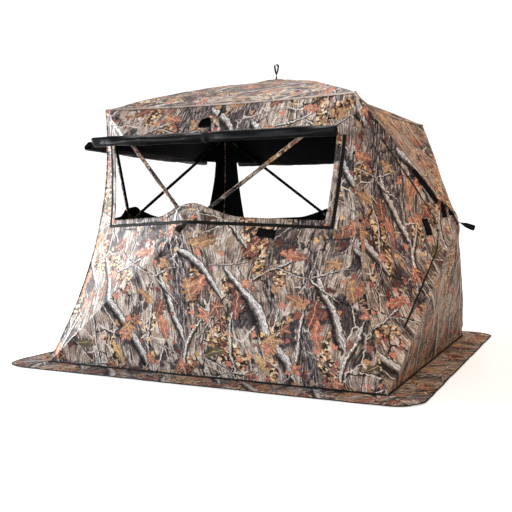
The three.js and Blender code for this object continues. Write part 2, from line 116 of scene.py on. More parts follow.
def make_studio():
    scene = bpy.context.scene
    scene.view_settings.view_transform = "Standard"
    world = bpy.data.worlds.new("studio")
    scene.world = world
    world.use_nodes = True
    tree = Graph(world.node_tree)
    seen = tree.node("ShaderNodeLightPath").outputs["Is Camera Ray"]
    place = tree.node("ShaderNodeTexCoord").outputs["Generated"]
    x, y, z = tree.node("ShaderNodeSeparateXYZ", {0: place}).outputs
    around = tree.blend(tree.span(x, -0.5, 0.7), FROM_LEFT, FROM_RIGHT)
    around = tree.blend(tree.span(y, 0.2, 0.9), around, FROM_BEHIND)
    around = tree.blend(tree.span(z, 0.1, 0.8), around, FROM_ABOVE)
    background = world.node_tree.nodes["Background"]
    tree.feed(background.inputs["Color"], tree.blend(seen, around, BACKGROUND))
    for light in LIGHTS:
        soft_box(*light)
    corners = [(x * FLOOR_HALF, y * FLOOR_HALF, 0) for x, y in ((-1, -1), (1, -1), (1, 1), (-1, 1))]
    floor = sheet_mesh("studio_floor", corners, [(0, 1, 2, 3)], paper_material())
    floor.location.z = -FLOOR_DROP


def paper_material():
    """White studio paper. It glows a little, and more away from the blind, so that it stays white."""
    material, graph, shader = new_material("studio_paper")
    place = graph.node("ShaderNodeTexCoord").outputs["Object"]
    glow = graph.span(graph.vector("LENGTH", place), 1.8, 3.6, PAPER_GLOW, PAPER_GLOW_FAR, smooth=True)
    seen = graph.node("ShaderNodeLightPath").outputs["Is Camera Ray"]
    glow = graph.math("MULTIPLY", glow, graph.math("MULTIPLY_ADD", seen, 0.75, 0.25))
    graph.shade(shader, {"Base Color": PAPER, "Roughness": 0.9, "Specular IOR Level": 0.0,
                         "Emission Color": (1, 1, 1, 1), "Emission Strength": glow})
    return material


# ---- Node graphs ----
def srgb(red, green, blue):
    """Linear colour of an 8-bit screen colour."""
    def linear(value):
        value /= 255
        return value / 12.92 if value <= 0.04045 else ((value + 0.055) / 1.055) ** 2.4
    return (linear(red), linear(green), linear(blue), 1.0)


class Graph:
    """Short calls for making shader nodes. An input may be a socket or a plain value."""

    def __init__(self, tree):
        self.tree = tree

    def node(self, kind, inputs=None, **settings):
        made = self.tree.nodes.new(kind)
        for name, value in settings.items():
            setattr(made, name, value)
        for name, value in (inputs or {}).items():
            self.feed(made.inputs[name], value)
        return made

    def feed(self, socket, value):
        if isinstance(value, bpy.types.NodeSocket):
            self.tree.links.new(value, socket)
        elif value is not None:
            socket.default_value = value

    def shade(self, shader, values):
        """Feeds a shader's sockets. A plain value is set on the socket itself."""
        for name, value in values.items():
            self.feed(shader.inputs[name], value)

    def math(self, operation, first, second=None, third=None, clamp=False):
        made = self.node("ShaderNodeMath", {0: first, 1: second, 2: third}, operation=operation)
        made.use_clamp = clamp
        return made.outputs[0]

    def vector(self, operation, first, second=None, third=None):
        made = self.node("ShaderNodeVectorMath", {0: first, 1: second, 2: third}, operation=operation)
        return made.outputs["Value" if operation in ("DOT_PRODUCT", "LENGTH") else "Vector"]

    def scaled(self, vector, factors, shift=(0, 0, 0)):
        return self.node("ShaderNodeMapping", {"Vector": vector, "Scale": tuple(factors),
                                               "Location": tuple(shift)}).outputs[0]

    def ramp(self, factor, stops, interpolation="LINEAR"):
        made = self.node("ShaderNodeValToRGB", {"Fac": factor})
        made.color_ramp.interpolation = interpolation
        elements = made.color_ramp.elements
        while len(elements) < len(stops):
            elements.new(0.5)
        for element, (place, colour) in zip(elements, stops):
            element.position = place
            element.color = colour
        return made.outputs["Color"], made.outputs["Alpha"]

    def blend(self, factor, below, above, mode="MIX"):
        made = self.node("ShaderNodeMix", data_type="RGBA", blend_type=mode)
        for name, value in (("Factor_Float", factor), ("A_Color", below), ("B_Color", above)):
            self.feed(next(s for s in made.inputs if s.identifier == name), value)
        return next(s for s in made.outputs if s.identifier == "Result_Color")

    def span(self, value, low, high, to_low=0.0, to_high=1.0, smooth=False):
        """The value's place between low and high, as a value from to_low to to_high."""
        made = self.node("ShaderNodeMapRange", {0: value, 1: low, 2: high, 3: to_low, 4: to_high})
        made.interpolation_type = "SMOOTHSTEP" if smooth else "LINEAR"
        return made.outputs[0]

    def noise(self, vector, scale, detail=2.0, roughness=0.5, colour=False, dimensions="2D"):
        made = self.node("ShaderNodeTexNoise", {"Vector": vector, "Scale": scale, "Detail": detail,
                                                "Roughness": roughness}, noise_dimensions=dimensions)
        return made.outputs["Color" if colour else "Fac"]

    def cells(self, vector, scale, feature="F1", randomness=1.0):
        inputs = {"Vector": vector, "Scale": scale, "Randomness": randomness}
        return self.node("ShaderNodeTexVoronoi", inputs, feature=feature, voronoi_dimensions="2D")

    def bump(self, height, distance, strength=1.0, normal=None):
        inputs = {"Height": height, "Distance": distance, "Strength": strength, "Normal": normal}
        return self.node("ShaderNodeBump", inputs).outputs[0]

    def multiply_add(self, vector, factors, shift):
        inputs = {0: vector, 1: factors, 2: shift}
        return self.node("ShaderNodeVectorMath", inputs, operation="MULTIPLY_ADD").outputs[0]

    def waves(self, vector, scale, direction):
        inputs = {"Vector": vector, "Scale": scale}
        return self.node("ShaderNodeTexWave", inputs, bands_direction=direction).outputs["Fac"]


def group_of(name, inputs, outputs, fill):
    """A node group with the given sockets. `fill(graph, inputs)` fills it and returns its outputs."""
    group = bpy.data.node_groups.new(name, "ShaderNodeTree")
    for label, kind in inputs:
        group.interface.new_socket(label, in_out="INPUT", socket_type=kind)
    for label, kind in outputs:
        group.interface.new_socket(label, in_out="OUTPUT", socket_type=kind)
    graph = Graph(group)
    source = graph.node("NodeGroupInput")
    results = fill(graph, {label: source.outputs[label] for label, _ in inputs})
    sink = graph.node("NodeGroupOutput")
    for (label, _), result in zip(outputs, results):
        graph.feed(sink.inputs[label], result)
    return group


def use(graph, group, values):
    made = graph.node("ShaderNodeGroup", node_tree=group)
    for name, value in values.items():
        graph.feed(made.inputs[name], value)
    return made.outputs


# ---- The woodland print ----
# The print repeats like a roll of cloth does. Branches and leaves are laid out in one repeat, in
# metres: a branch is (x, y, angle, length, half width, taper, bend), and a leaf is
# (x, y, angle, size, colour). A fork is a knot, (x, y), with arms (angle, length, half width, bend).
REPEAT = (0.80, 0.72)
LIMBS = (
    (0.41, 0.37, -58, 0.66, 0.0225, 0.010, 0.14),
    (0.73, 0.42, -68, 0.40, 0.0170, 0.012, -0.25),
    (0.10, 0.60, -52, 0.34, 0.0190, -0.012, 0.30),
)
BRANCHES = (
    (0.245, 0.28, 84, 0.42, 0.0085, -0.006, 0.70),
    (0.600, 0.27, 77, 0.36, 0.0080, -0.008, -0.75),
    (0.020, 0.20, 71, 0.34, 0.0105, -0.010, 0.45),
    (0.455, 0.60, 24, 0.30, 0.0070, 0.008, -0.35),
)
FORKS = (
    ((0.215, 0.095), ((12, 0.20, 0.0085, -0.35), (62, 0.12, 0.0060, 0.60), (148, 0.17, 0.0075, 0.40),
                      (-38, 0.19, 0.0115, 0.25), (-152, 0.15, 0.0065, -0.50))),
    ((0.640, 0.565), ((18, 0.17, 0.0075, 0.45), (78, 0.14, 0.0060, -0.40), (158, 0.19, 0.0080, 0.35),
                      (-44, 0.20, 0.0105, -0.30), (-122, 0.14, 0.0060, 0.55))),
)
TWIGS = (
    (0.52, 0.09, 47, 0.24, 0.0034, -0.005, 0.60),
    (0.12, 0.34, 64, 0.26, 0.0036, -0.005, -0.50),
    (0.27, 0.66, 12, 0.30, 0.0036, -0.005, 0.30),
    (0.35, 0.50, 58, 0.26, 0.0034, -0.005, -0.60),
    (0.70, 0.20, -24, 0.26, 0.0036, 0.005, 0.40),
    (0.50, 0.44, -82, 0.24, 0.0034, 0.005, 0.40),
)
ORANGE = srgb(208, 116, 54)
RUST = srgb(158, 80, 44)
MAROON = srgb(112, 52, 44)
OCHRE = srgb(198, 142, 74)
TAN = srgb(176, 148, 118)
YELLOW = srgb(226, 180, 92)
RED = srgb(176, 62, 50)
OLIVE = srgb(122, 116, 76)
MAPLE_LEAVES = (
    (0.475, 0.290, -84, 0.082, OCHRE),
    (0.455, 0.245, -128, 0.058, ORANGE),
    (0.525, 0.330, -30, 0.050, RUST),
    (0.160, 0.430, -62, 0.076, RUST),
    (0.110, 0.385, 205, 0.054, ORANGE),
    (0.205, 0.365, -100, 0.058, MAROON),
    (0.340, 0.560, -58, 0.058, ORANGE),
    (0.385, 0.520, -118, 0.046, RUST),
    (0.735, 0.640, 230, 0.056, OCHRE),
    (0.770, 0.120, -78, 0.062, ORANGE),
    (0.725, 0.085, -20, 0.046, RUST),
    (0.020, 0.085, 150, 0.050, MAROON),
    (0.335, 0.120, -98, 0.052, RUST),
    (0.565, 0.160, -50, 0.050, ORANGE),
)
OAK_LEAVES = (
    (0.040, 0.500, 102, 0.066, OCHRE),
    (0.080, 0.520, 66, 0.058, ORANGE),
    (0.290, 0.450, -86, 0.062, RUST),
    (0.160, 0.190, 22, 0.056, OLIVE),
    (0.395, 0.165, 118, 0.052, YELLOW),
    (0.575, 0.445, -34, 0.058, OCHRE),
    (0.665, 0.390, -104, 0.060, RUST),
    (0.560, 0.680, 168, 0.056, ORANGE),
    (0.350, 0.010, 32, 0.054, RUST),
    (0.130, 0.010, 200, 0.058, OCHRE),
    (0.690, 0.300, 100, 0.060, ORANGE),
)


def local_axes(graph, sockets):
    """The point seen from a shape's middle, along and across it. The print repeats, so it wraps."""
    half = (REPEAT[0] / 2, REPEAT[1] / 2, 1)
    offset = graph.vector("SUBTRACT", sockets["Point"], sockets["Middle"])
    wrapped = graph.vector("WRAP", offset, half, (-half[0], -half[1], -1))
    along = graph.vector("DOT_PRODUCT", wrapped, sockets["Along"])
    across = graph.vector("DOT_PRODUCT", wrapped, sockets["Across"])
    return wrapped, along, across


PLACED = [(label, "NodeSocketVector") for label in ("Point", "Middle", "Along", "Across")]
BRANCH = [(label, "NodeSocketFloat") for label in ("Half length", "Half width", "Taper", "Bend")]
BRANCH += [("Bark", "NodeSocketColor")]
LEAF = [("Size", "NodeSocketFloat"), ("Tint", "NodeSocketColor"), ("Mottle", "NodeSocketColor")]
INKED = [("Color", "NodeSocketColor"), ("Alpha", "NodeSocketFloat")]


def branch_group(name, light, shade, dark):
    """A round branch: lit on its upper side, dark and shadowed below, with bark running along it."""
    def fill(graph, given):
        _, along, across = local_axes(graph, given)
        bent = graph.math("MULTIPLY_ADD", graph.math("MULTIPLY", along, along), given["Bend"], across)
        reach = graph.math("SUBTRACT", given["Half length"], graph.math("ABSOLUTE", along))
        width = graph.math("MULTIPLY_ADD", along, given["Taper"], given["Half width"])
        width = graph.math("MULTIPLY", width, graph.span(reach, 0.0, 0.07, 0.25, 1.0))
        side = graph.math("DIVIDE", bent, width)
        ends = graph.span(reach, 0.0, 0.012)
        clear, half_clear = (*dark[:3], 0.0), (*dark[:3], 0.7)
        colour, alpha = graph.ramp(graph.math("MULTIPLY_ADD", side, -0.29, 0.5), [
            (0.14, clear), (0.19, dark), (0.25, light), (0.46, light),
            (0.60, shade), (0.74, dark), (0.84, half_clear), (0.98, clear),
        ])
        return graph.blend(1.0, colour, given["Bark"], "MULTIPLY"), graph.math("MULTIPLY", alpha, ends)
    return group_of(name, PLACED + BRANCH, INKED, fill)


def leaf_tint(graph, given, vein, rim, along):
    """A leaf's colour: paler veins, a darker edge, and mottled from one half to the other."""
    shaded = graph.blend(graph.span(along, -0.6, 0.6, 0.35, 0.0), given["Tint"], srgb(96, 50, 34))
    inked = graph.blend(1.0, shaded, given["Mottle"], "MULTIPLY")
    inked = graph.blend(vein, inked, srgb(232, 196, 136))
    return graph.blend(rim, inked, srgb(70, 36, 28))


def maple_group():
    """A leaf with five pointed, toothed lobes round its stem."""
    def fill(graph, given):
        wrapped, along, across = local_axes(graph, given)
        reach = graph.math("DIVIDE", graph.vector("LENGTH", wrapped), given["Size"])
        turn = graph.math("ARCTAN2", across, along)
        notch = graph.math("PINGPONG", graph.math("DIVIDE", turn, 1.16), 0.5)
        notch = graph.math("MULTIPLY", notch, 2.0)
        teeth = graph.math("PINGPONG", graph.math("DIVIDE", turn, 0.29), 0.5)
        teeth = graph.math("MULTIPLY", teeth, 0.20)
        length = graph.math("MULTIPLY_ADD", graph.math("COSINE", turn), 0.26, 0.72)
        depth = graph.math("MULTIPLY_ADD", graph.math("POWER", notch, 0.75), -0.52, 0.96)
        edge = graph.math("MULTIPLY", graph.math("ADD", depth, teeth), length)
        within = graph.math("SUBTRACT", edge, reach)
        inside = graph.span(within, 0.0, 0.05)
        vein = graph.span(graph.math("MULTIPLY", notch, reach), 0.015, 0.06, 0.7, 0.0)
        rim = graph.span(within, 0.0, 0.16, 0.55, 0.0)
        lengthwise = graph.math("DIVIDE", along, given["Size"])
        return leaf_tint(graph, given, vein, rim, lengthwise), inside
    return group_of("print_maple_leaf", PLACED + LEAF, INKED, fill)


def oak_group():
    """A long leaf with rounded lobes down both sides and one midrib."""
    def fill(graph, given):
        _, along, across = local_axes(graph, given)
        down = graph.math("DIVIDE", along, given["Size"])
        side = graph.math("ABSOLUTE", graph.math("DIVIDE", across, given["Size"]))
        round_off = graph.math("SUBTRACT", 1.0, graph.math("MULTIPLY", down, down), clamp=True)
        lean = graph.math("MULTIPLY_ADD", side, -1.6, graph.math("MULTIPLY", down, 6.0))
        lobes = graph.math("MULTIPLY_ADD", graph.math("ABSOLUTE", graph.math("SINE", lean)), 0.34, 0.22)
        edge = graph.math("MULTIPLY", graph.math("POWER", round_off, 0.65), lobes)
        within = graph.math("SUBTRACT", edge, side)
        inside = graph.span(within, 0.0, 0.03)
        rib = graph.span(side, 0.012, 0.04, 0.7, 0.0)
        rim = graph.span(within, 0.0, 0.10, 0.55, 0.0)
        return leaf_tint(graph, given, rib, rim, down), inside
    return group_of("print_oak_leaf", PLACED + LEAF, INKED, fill)


def grey_of(graph, value):
    return graph.node("ShaderNodeCombineColor", {0: value, 1: value, 2: value}).outputs[0]


def heading(degrees):
    turn = math.radians(degrees)
    return (math.cos(turn), math.sin(turn), 0), (-math.sin(turn), math.cos(turn), 0)


def ink(graph, group, point, below, place, degrees, values):
    """Prints one shape over the colours below it."""
    along, across = heading(degrees)
    placed = {"Point": point, "Middle": (*place, 0), "Along": along, "Across": across}
    inked = use(graph, group, {**placed, **values})
    return graph.blend(inked["Alpha"], below, inked["Color"])


def ink_branches(graph, point, below, bark, group, rows):
    for x, y, degrees, length, half_width, taper, bend in rows:
        values = {"Half length": length / 2, "Half width": half_width, "Taper": taper, "Bend": bend,
                  "Bark": bark}
        below = ink(graph, group, point, below, (x, y), degrees, values)
    return below


def fork_rows(forks):
    """The arms of each fork, as branches that start at its knot and grow thinner outwards."""
    rows = []
    for (x, y), arms in forks:
        for degrees, length, half_width, bend in arms:
            turn = math.radians(degrees)
            middle = (x + math.cos(turn) * length / 2, y + math.sin(turn) * length / 2)
            taper = -half_width * 0.9 / length
            rows.append((*middle, degrees, length, half_width * 0.7, taper, bend))
    return rows


def ink_leaves(graph, point, below, mottle, group, rows):
    for x, y, degrees, size, tint in rows:
        values = {"Size": size, "Tint": tint, "Mottle": mottle}
        below = ink(graph, group, point, below, (x, y), degrees, values)
    return below


def forest_floor(graph, point, jagged):
    """What lies behind the branches: pale haze, dark hollows, trunks with bark, litter and stems."""
    haze = graph.noise(graph.scaled(point, (4.2, 2.2, 1)), 1.4, 2)
    colour, _ = graph.ramp(haze, [(0.34, srgb(120, 100, 92)), (0.44, srgb(164, 142, 130)),
                                  (0.54, srgb(208, 188, 174)), (0.66, srgb(166, 142, 128))])
    blotch = graph.noise(graph.scaled(point, (38, 15, 1)), 1.0, 4, 0.7)
    colour = graph.blend(graph.span(blotch, 0.52, 0.60, 0, 0.70), colour, srgb(112, 88, 74))
    colour = graph.blend(graph.span(blotch, 0.44, 0.36, 0, 0.75), colour, srgb(228, 214, 200))
    stems = graph.noise(graph.scaled(point, (150, 9, 1)), 1.0, 3, 0.65)
    colour = graph.blend(graph.span(stems, 0.55, 0.66, 0, 0.80), colour, srgb(232, 220, 206))
    colour = graph.blend(graph.span(stems, 0.45, 0.36, 0, 0.90), colour, srgb(52, 42, 42))
    hollow = graph.noise(graph.scaled(point, (1.1, 1.0, 1)), 4.4, 3, 0.62)
    shadow_noise = graph.noise(graph.scaled(point, (120, 34, 1)), 1.0, 4, 0.7)
    shadow_tone, _ = graph.ramp(shadow_noise, [
        (0.34, srgb(38, 32, 36)), (0.5, srgb(74, 64, 68)), (0.64, srgb(122, 108, 106))])
    colour = graph.blend(graph.span(hollow, 0.555, 0.590, 0, 0.95), colour, shadow_tone)
    litter = graph.cells(graph.scaled(jagged, (1.0, 1.5, 1)), 78)
    patch = graph.span(graph.noise(graph.scaled(jagged, (1, 1, 1), (3.1, 1.7, 0)), 5.0, 2), 0.55, 0.59)
    chance = graph.node("ShaderNodeSeparateColor", {0: litter.outputs["Color"]}).outputs[0]
    mottle, _ = graph.ramp(chance, [
        (0.0, srgb(52, 36, 30)), (0.22, srgb(196, 132, 58)), (0.42, srgb(232, 190, 108)),
        (0.60, srgb(140, 78, 42)), (0.76, srgb(236, 220, 180)), (0.88, srgb(72, 52, 40))], "CONSTANT")
    colour = graph.blend(graph.math("MULTIPLY", patch, 0.9), colour, mottle)
    bands = graph.noise(graph.scaled(point, (5.4, 0.5, 1)), 1.0, 1)
    trunk = graph.span(bands, 0.575, 0.600)
    bark_noise = graph.noise(graph.scaled(point, (110, 20, 1)), 1.0, 4, 0.75)
    bark, _ = graph.ramp(bark_noise, [(0.34, srgb(36, 29, 33)), (0.46, srgb(82, 71, 75)),
                                      (0.56, srgb(138, 124, 122)), (0.66, srgb(214, 202, 194))])
    return graph.blend(trunk, colour, bark)


def thicket(graph, point, below, scale, width, tint, seed):
    """Fine crossing twigs in patches: the borders between the cells of a bent Voronoi pattern."""
    moved = graph.scaled(point, (1.0, 0.62, 1), (seed, seed * 1.7, 0))
    edge = graph.cells(moved, scale, "DISTANCE_TO_EDGE").outputs["Distance"]
    where = graph.span(graph.noise(moved, 5.5, 1), 0.50, 0.60)
    line = graph.span(edge, width * scale * 0.5, width * scale, 0.95, 0.0)
    return graph.blend(graph.math("MULTIPLY", line, where), below, tint)


def small_leaves(graph, point, below, scale, tints, share):
    """Scattered small leaves, one to a cell, each turned and tinted by its cell's own random colour."""
    cell = graph.cells(point, scale, randomness=0.75)
    random = graph.node("ShaderNodeSeparateColor", {0: cell.outputs["Color"]}).outputs
    offset = graph.vector("SUBTRACT", graph.scaled(point, (scale, scale, 0)),
                          graph.scaled(cell.outputs["Position"], (scale, scale, 0)))
    parts = graph.node("ShaderNodeSeparateXYZ", {0: offset}).outputs
    turn = graph.math("MULTIPLY_ADD", random[1], 6.283, graph.math("ARCTAN2", parts[1], parts[0]))
    lobes = graph.math("ABSOLUTE", graph.math("COSINE", graph.math("MULTIPLY", turn, 1.5)))
    lobes = graph.math("MULTIPLY_ADD", lobes, 0.20, 0.16)
    inside = graph.span(graph.math("SUBTRACT", lobes, graph.vector("LENGTH", offset)), 0.0, 0.04)
    kept = graph.math("LESS_THAN", random[2], share)
    tint, _ = graph.ramp(random[0], [(i / len(tints), t) for i, t in enumerate(tints)], "CONSTANT")
    return graph.blend(graph.math("MULTIPLY", inside, kept), below, tint)


def woodland_group(name, large_shapes):
    """The whole print, or for narrow pieces the print without its large branches and leaves."""
    twig = branch_group("print_twig", srgb(216, 204, 194), srgb(150, 134, 126), srgb(44, 34, 36))
    branch = branch_group("print_branch", srgb(236, 228, 222), srgb(150, 136, 130), srgb(34, 27, 31))
    limb = branch_group("print_limb", srgb(230, 224, 220), srgb(132, 120, 118), srgb(34, 28, 32))
    maple, oak = maple_group(), oak_group()

    def fill(graph, given):
        sway = graph.noise(given["Cloth"], 3.1, 1, colour=True)
        jag = graph.noise(given["Cloth"], 46, 2, colour=True)
        bent = graph.multiply_add(sway, (0.10, 0.10, 0), given["Cloth"])
        point = graph.multiply_add(jag, (0.017, 0.017, 0), bent)
        speckle = graph.noise(graph.scaled(bent, (170, 100, 1)), 1.0, 3, 0.7)
        leaning = graph.node("ShaderNodeMapping", {
            "Vector": bent, "Rotation": (0, 0, math.radians(-58)), "Scale": (1 / 46, 1 / 200, 1),
        }, vector_type="TEXTURE")
        furrows = graph.noise(leaning.outputs[0], 1.0, 3, 0.7)
        bark = grey_of(graph, graph.span(furrows, 0.38, 0.60, 0.42, 1.10))
        mottle = grey_of(graph, graph.span(graph.noise(bent, 60, 3, 0.6), 0.36, 0.64, 0.62, 1.20))
        colour = forest_floor(graph, bent, point)
        colour = small_leaves(graph, point, colour, 17.0, (RUST, TAN, OCHRE, MAROON, ORANGE), 0.34)
        colour = thicket(graph, point, colour, 15.0, 0.0034, srgb(44, 34, 36), 0.3)
        colour = thicket(graph, point, colour, 12.0, 0.0030, srgb(224, 214, 204), 2.1)
        if large_shapes:
            # The renderer has little room for values in waiting. Each shape after this one needs the
            # colours before it, by a share too small to see, so that they are worked out in turn.
            point = graph.multiply_add(colour, (1e-7, 1e-7, 0), point)
            drawn = (twig, TWIGS), (limb, LIMBS), (branch, BRANCHES), (branch, fork_rows(FORKS))
            for group, rows in drawn:
                colour = ink_branches(graph, point, colour, bark, group, rows)
            colour = ink_leaves(graph, point, colour, mottle, oak, OAK_LEAVES)
            colour = ink_leaves(graph, point, colour, mottle, maple, MAPLE_LEAVES)
        colour = small_leaves(graph, bent, colour, 25.0, (ORANGE, OCHRE, RUST, RED, YELLOW), 0.08)
        soft = graph.span(speckle, 0.34, 0.66, 0.66, 1.18)
        return [graph.blend(1.0, colour, grey_of(graph, soft), "MULTIPLY")]
    return group_of(name, [("Cloth", "NodeSocketVector")], [("Color", "NodeSocketColor")], fill)


# ---- Materials ----
def new_material(name):
    material = bpy.data.materials.new(name)
    material.use_nodes = True
    shader = material.node_tree.nodes["Principled BSDF"]
    return material, Graph(material.node_tree), shader


def weave_bump(graph, cloth, thread, depth):
    """Crossed threads, finer than a millimetre apart, over the small crumples of handled cloth."""
    warp, weft = (graph.waves(cloth, 0.5 / thread, direction) for direction in "XY")
    threads = graph.bump(graph.math("MULTIPLY", warp, weft), depth, 0.5)
    crumple = graph.noise(cloth, 26, 3, 0.55)
    return graph.bump(crumple, 0.004, 0.35, threads)


def camo_material(name, print_group, darker=1.0, roughness=0.48):
    material, graph, shader = new_material(name)
    cloth = graph.node("ShaderNodeUVMap", uv_map="cloth").outputs[0]
    inked = use(graph, print_group, {"Cloth": cloth})["Color"]
    inked = graph.node("ShaderNodeGamma", {"Color": inked, "Gamma": 1.20}).outputs[0]
    toned = {"Color": inked, "Saturation": 0.74, "Value": 1.09}
    inked = graph.node("ShaderNodeHueSaturation", toned).outputs[0]
    if darker != 1.0:
        inked = graph.blend(1.0, inked, (darker, darker, darker, 1), "MULTIPLY")
    graph.shade(shader, {"Base Color": inked, "Normal": weave_bump(graph, cloth, 0.0011, 0.0002),
                         "Roughness": roughness, "Specular IOR Level": 0.14})
    return material


def brighter(colour, factor, lift=0.0):
    return tuple(min(1, c * factor + lift) for c in colour[:3]) + (1,)


def cloth_material(name, colour, roughness, sheen=0.1, specular=0.2):
    """One-coloured woven cloth, a little uneven in tone."""
    material, graph, shader = new_material(name)
    cloth = graph.node("ShaderNodeUVMap", uv_map="cloth").outputs[0]
    tone = graph.noise(cloth, 17, 3, 0.6)
    tinted, _ = graph.ramp(tone, [(0.3, brighter(colour, 0.72)), (0.7, brighter(colour, 1.35))])
    graph.shade(shader, {"Base Color": tinted, "Normal": weave_bump(graph, cloth, 0.0012, 0.0003),
                         "Roughness": roughness, "Specular IOR Level": specular, "Sheen Weight": sheen})
    return material


def webbing_material(name, colour):
    """Flat webbing: ribs across the strap, with finer threads along it."""
    material, graph, shader = new_material(name)
    cloth = graph.node("ShaderNodeUVMap", uv_map="cloth").outputs[0]
    height = graph.math("MULTIPLY_ADD", graph.waves(cloth, 260, "Y"), 0.4, graph.waves(cloth, 160, "X"))
    tone = graph.noise(cloth, 60, 3)
    tinted, _ = graph.ramp(tone, [(0.3, brighter(colour, 0.6)), (0.7, brighter(colour, 1.6))])
    graph.shade(shader, {"Base Color": tinted, "Normal": graph.bump(height, 0.0006, 0.6),
                         "Roughness": 0.7, "Specular IOR Level": 0.15, "Sheen Weight": 0.03})
    return material


def moulded_material(name, colour, roughness):
    """Moulded nylon: fine spark-eroded grain, with paler scuffs."""
    material, graph, shader = new_material(name)
    place = graph.node("ShaderNodeTexCoord").outputs["Object"]
    scuffs = graph.noise(place, 38, 4, 0.6, dimensions="3D")
    tinted, _ = graph.ramp(scuffs, [(0.45, colour), (0.78, brighter(colour, 2.4, 0.02))])
    grain = graph.bump(graph.noise(place, 900, 2, dimensions="3D"), 0.0003, 0.4)
    worn = graph.span(scuffs, 0.3, 0.8, roughness, roughness + 0.2)
    graph.shade(shader, {"Base Color": tinted, "Roughness": worn, "Normal": grain})
    return material


def fibreglass_material():
    """Pultruded rod: long pale strands under dark resin."""
    material, graph, shader = new_material("fibreglass_rod")
    place = graph.node("ShaderNodeTexCoord").outputs["Object"]
    strands = graph.noise(graph.scaled(place, (240, 240, 14)), 1.0, 3, 0.6, dimensions="3D")
    tinted, _ = graph.ramp(strands, [(0.35, srgb(46, 42, 36)), (0.7, srgb(104, 98, 84))])
    graph.shade(shader, {"Base Color": tinted, "Normal": graph.bump(strands, 0.0003, 0.3),
                         "Roughness": 0.38})
    return material


def metal_material():
    material, graph, shader = new_material("cast_metal")
    place = graph.node("ShaderNodeTexCoord").outputs["Object"]
    wear = graph.noise(place, 220, 4, 0.6, dimensions="3D")
    tinted, _ = graph.ramp(wear, [(0.35, srgb(92, 92, 94)), (0.65, srgb(172, 172, 174))])
    graph.shade(shader, {"Base Color": tinted, "Roughness": graph.span(wear, 0.3, 0.7, 0.26, 0.5),
                         "Normal": graph.bump(wear, 0.0002, 0.3), "Metallic": 1.0})
    return material


# ---- Mesh tools ----
def sheet_mesh(name, points, faces, *materials, cloth=None, inner_faces=()):
    """A mesh object. `cloth` gives each point's place on the flat cloth, in metres, for its print."""
    mesh = bpy.data.meshes.new(name)
    mesh.from_pydata([tuple(p) for p in np.asarray(points, float)], [], [tuple(f) for f in faces])
    mesh.validate()
    for material in materials:
        mesh.materials.append(material)
    if cloth is not None:
        layer = mesh.uv_layers.new(name="cloth")
        corners = np.zeros(len(mesh.loops), np.int32)
        mesh.loops.foreach_get("vertex_index", corners)
        layer.data.foreach_set("uv", np.asarray(cloth, np.float32)[corners].ravel())
    for index in inner_faces:
        mesh.polygons[index].material_index = 1
    mesh.polygons.foreach_set("use_smooth", [True] * len(mesh.polygons))
    mesh.update()
    made = bpy.data.objects.new(name, mesh)
    bpy.context.scene.collection.objects.link(made)
    return made


def turned(points, quarter_turns):
    angle = quarter_turns * math.pi / 2
    c, s = math.cos(angle), math.sin(angle)
    x, y, z = np.asarray(points, float).T
    return np.stack([x * c - y * s, x * s + y * c, z], 1)


def thicken(piece, thickness=CLOTH, inner=1):
    """Gives a sheet its thickness, with the inner face in the material `inner` places on."""
    solid = piece.modifiers.new("cloth_thickness", "SOLIDIFY")
    solid.thickness = thickness
    solid.offset = -1
    solid.material_offset = inner
    solid.material_offset_rim = 0


def fix_to(body, piece, stands_for=None):
    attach(piece, body)
    if stands_for:
        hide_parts(stands_for)


def follow(piece):
    """Puts the piece's place into its points, leaving the object itself unmoved."""
    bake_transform(piece)


def grid_faces(rows, columns, closed=False):
    """Faces of a grid of points. A closed one joins its last column to its first."""
    faces = []
    for row in range(0, (rows - 1) * columns, columns):
        for j in range(columns if closed else columns - 1):
            k = (j + 1) % columns
            faces.append((row + j, row + k, row + columns + k, row + columns + j))
    return faces


def tube(path, radius, sides=8, flatten=1.0):
    """Points and faces of a round bar along a path. The bar's ends are left open."""
    path = np.asarray(path, float)
    run = np.gradient(path, axis=0)
    run /= np.linalg.norm(run, axis=1)[:, None]
    helper = np.array([0, 0, 1.0]) if abs(run[:, 2]).mean() < 0.9 else np.array([0, 1.0, 0])
    across = np.cross(run, helper)
    across /= np.linalg.norm(across, axis=1)[:, None]
    up = np.cross(across, run)
    turn = np.linspace(0, 2 * math.pi, sides, endpoint=False)
    radius = np.broadcast_to(np.asarray(radius, float), (len(path),))[:, None, None]
    ring = across[:, None] * np.cos(turn)[:, None] + up[:, None] * np.sin(turn)[:, None] * flatten
    points = (path[:, None] + ring * radius).reshape(-1, 3)
    return points, grid_faces(len(path), sides, closed=True)


def cord_cloth(reach, sides, step):
    """Places on the cloth for a tube: along it, and round it in steps."""
    return np.stack([np.repeat(reach, sides), np.tile(np.arange(sides) * step, len(reach))], 1)


def path_length(path):
    return np.concatenate([[0], np.cumsum(np.linalg.norm(np.diff(path, axis=0), axis=1))])


def fractal(x, z, scale, seed, octaves=3):
    """Smooth repeatable noise in about -1 to 1, made of turned sine waves."""
    rng = np.random.default_rng(seed)
    total = np.zeros_like(np.asarray(x, float))
    for octave in range(octaves):
        for _ in range(5):
            angle, phase = rng.uniform(0, 2 * math.pi, 2)
            stretch = rng.uniform(0.6, 1.5) * 2 ** octave * 2 * math.pi / scale
            total += np.sin((x * math.cos(angle) + z * math.sin(angle)) * stretch + phase) / 2 ** octave
    return total / 5


# ---- The walls' shape ----
def edge_run(start, end, bow, steps):
    t = np.arange(steps)[:, None] / steps
    return np.asarray(start) * (1 - t) + np.asarray(end) * t + 4 * t * (1 - t) * np.asarray(bow)


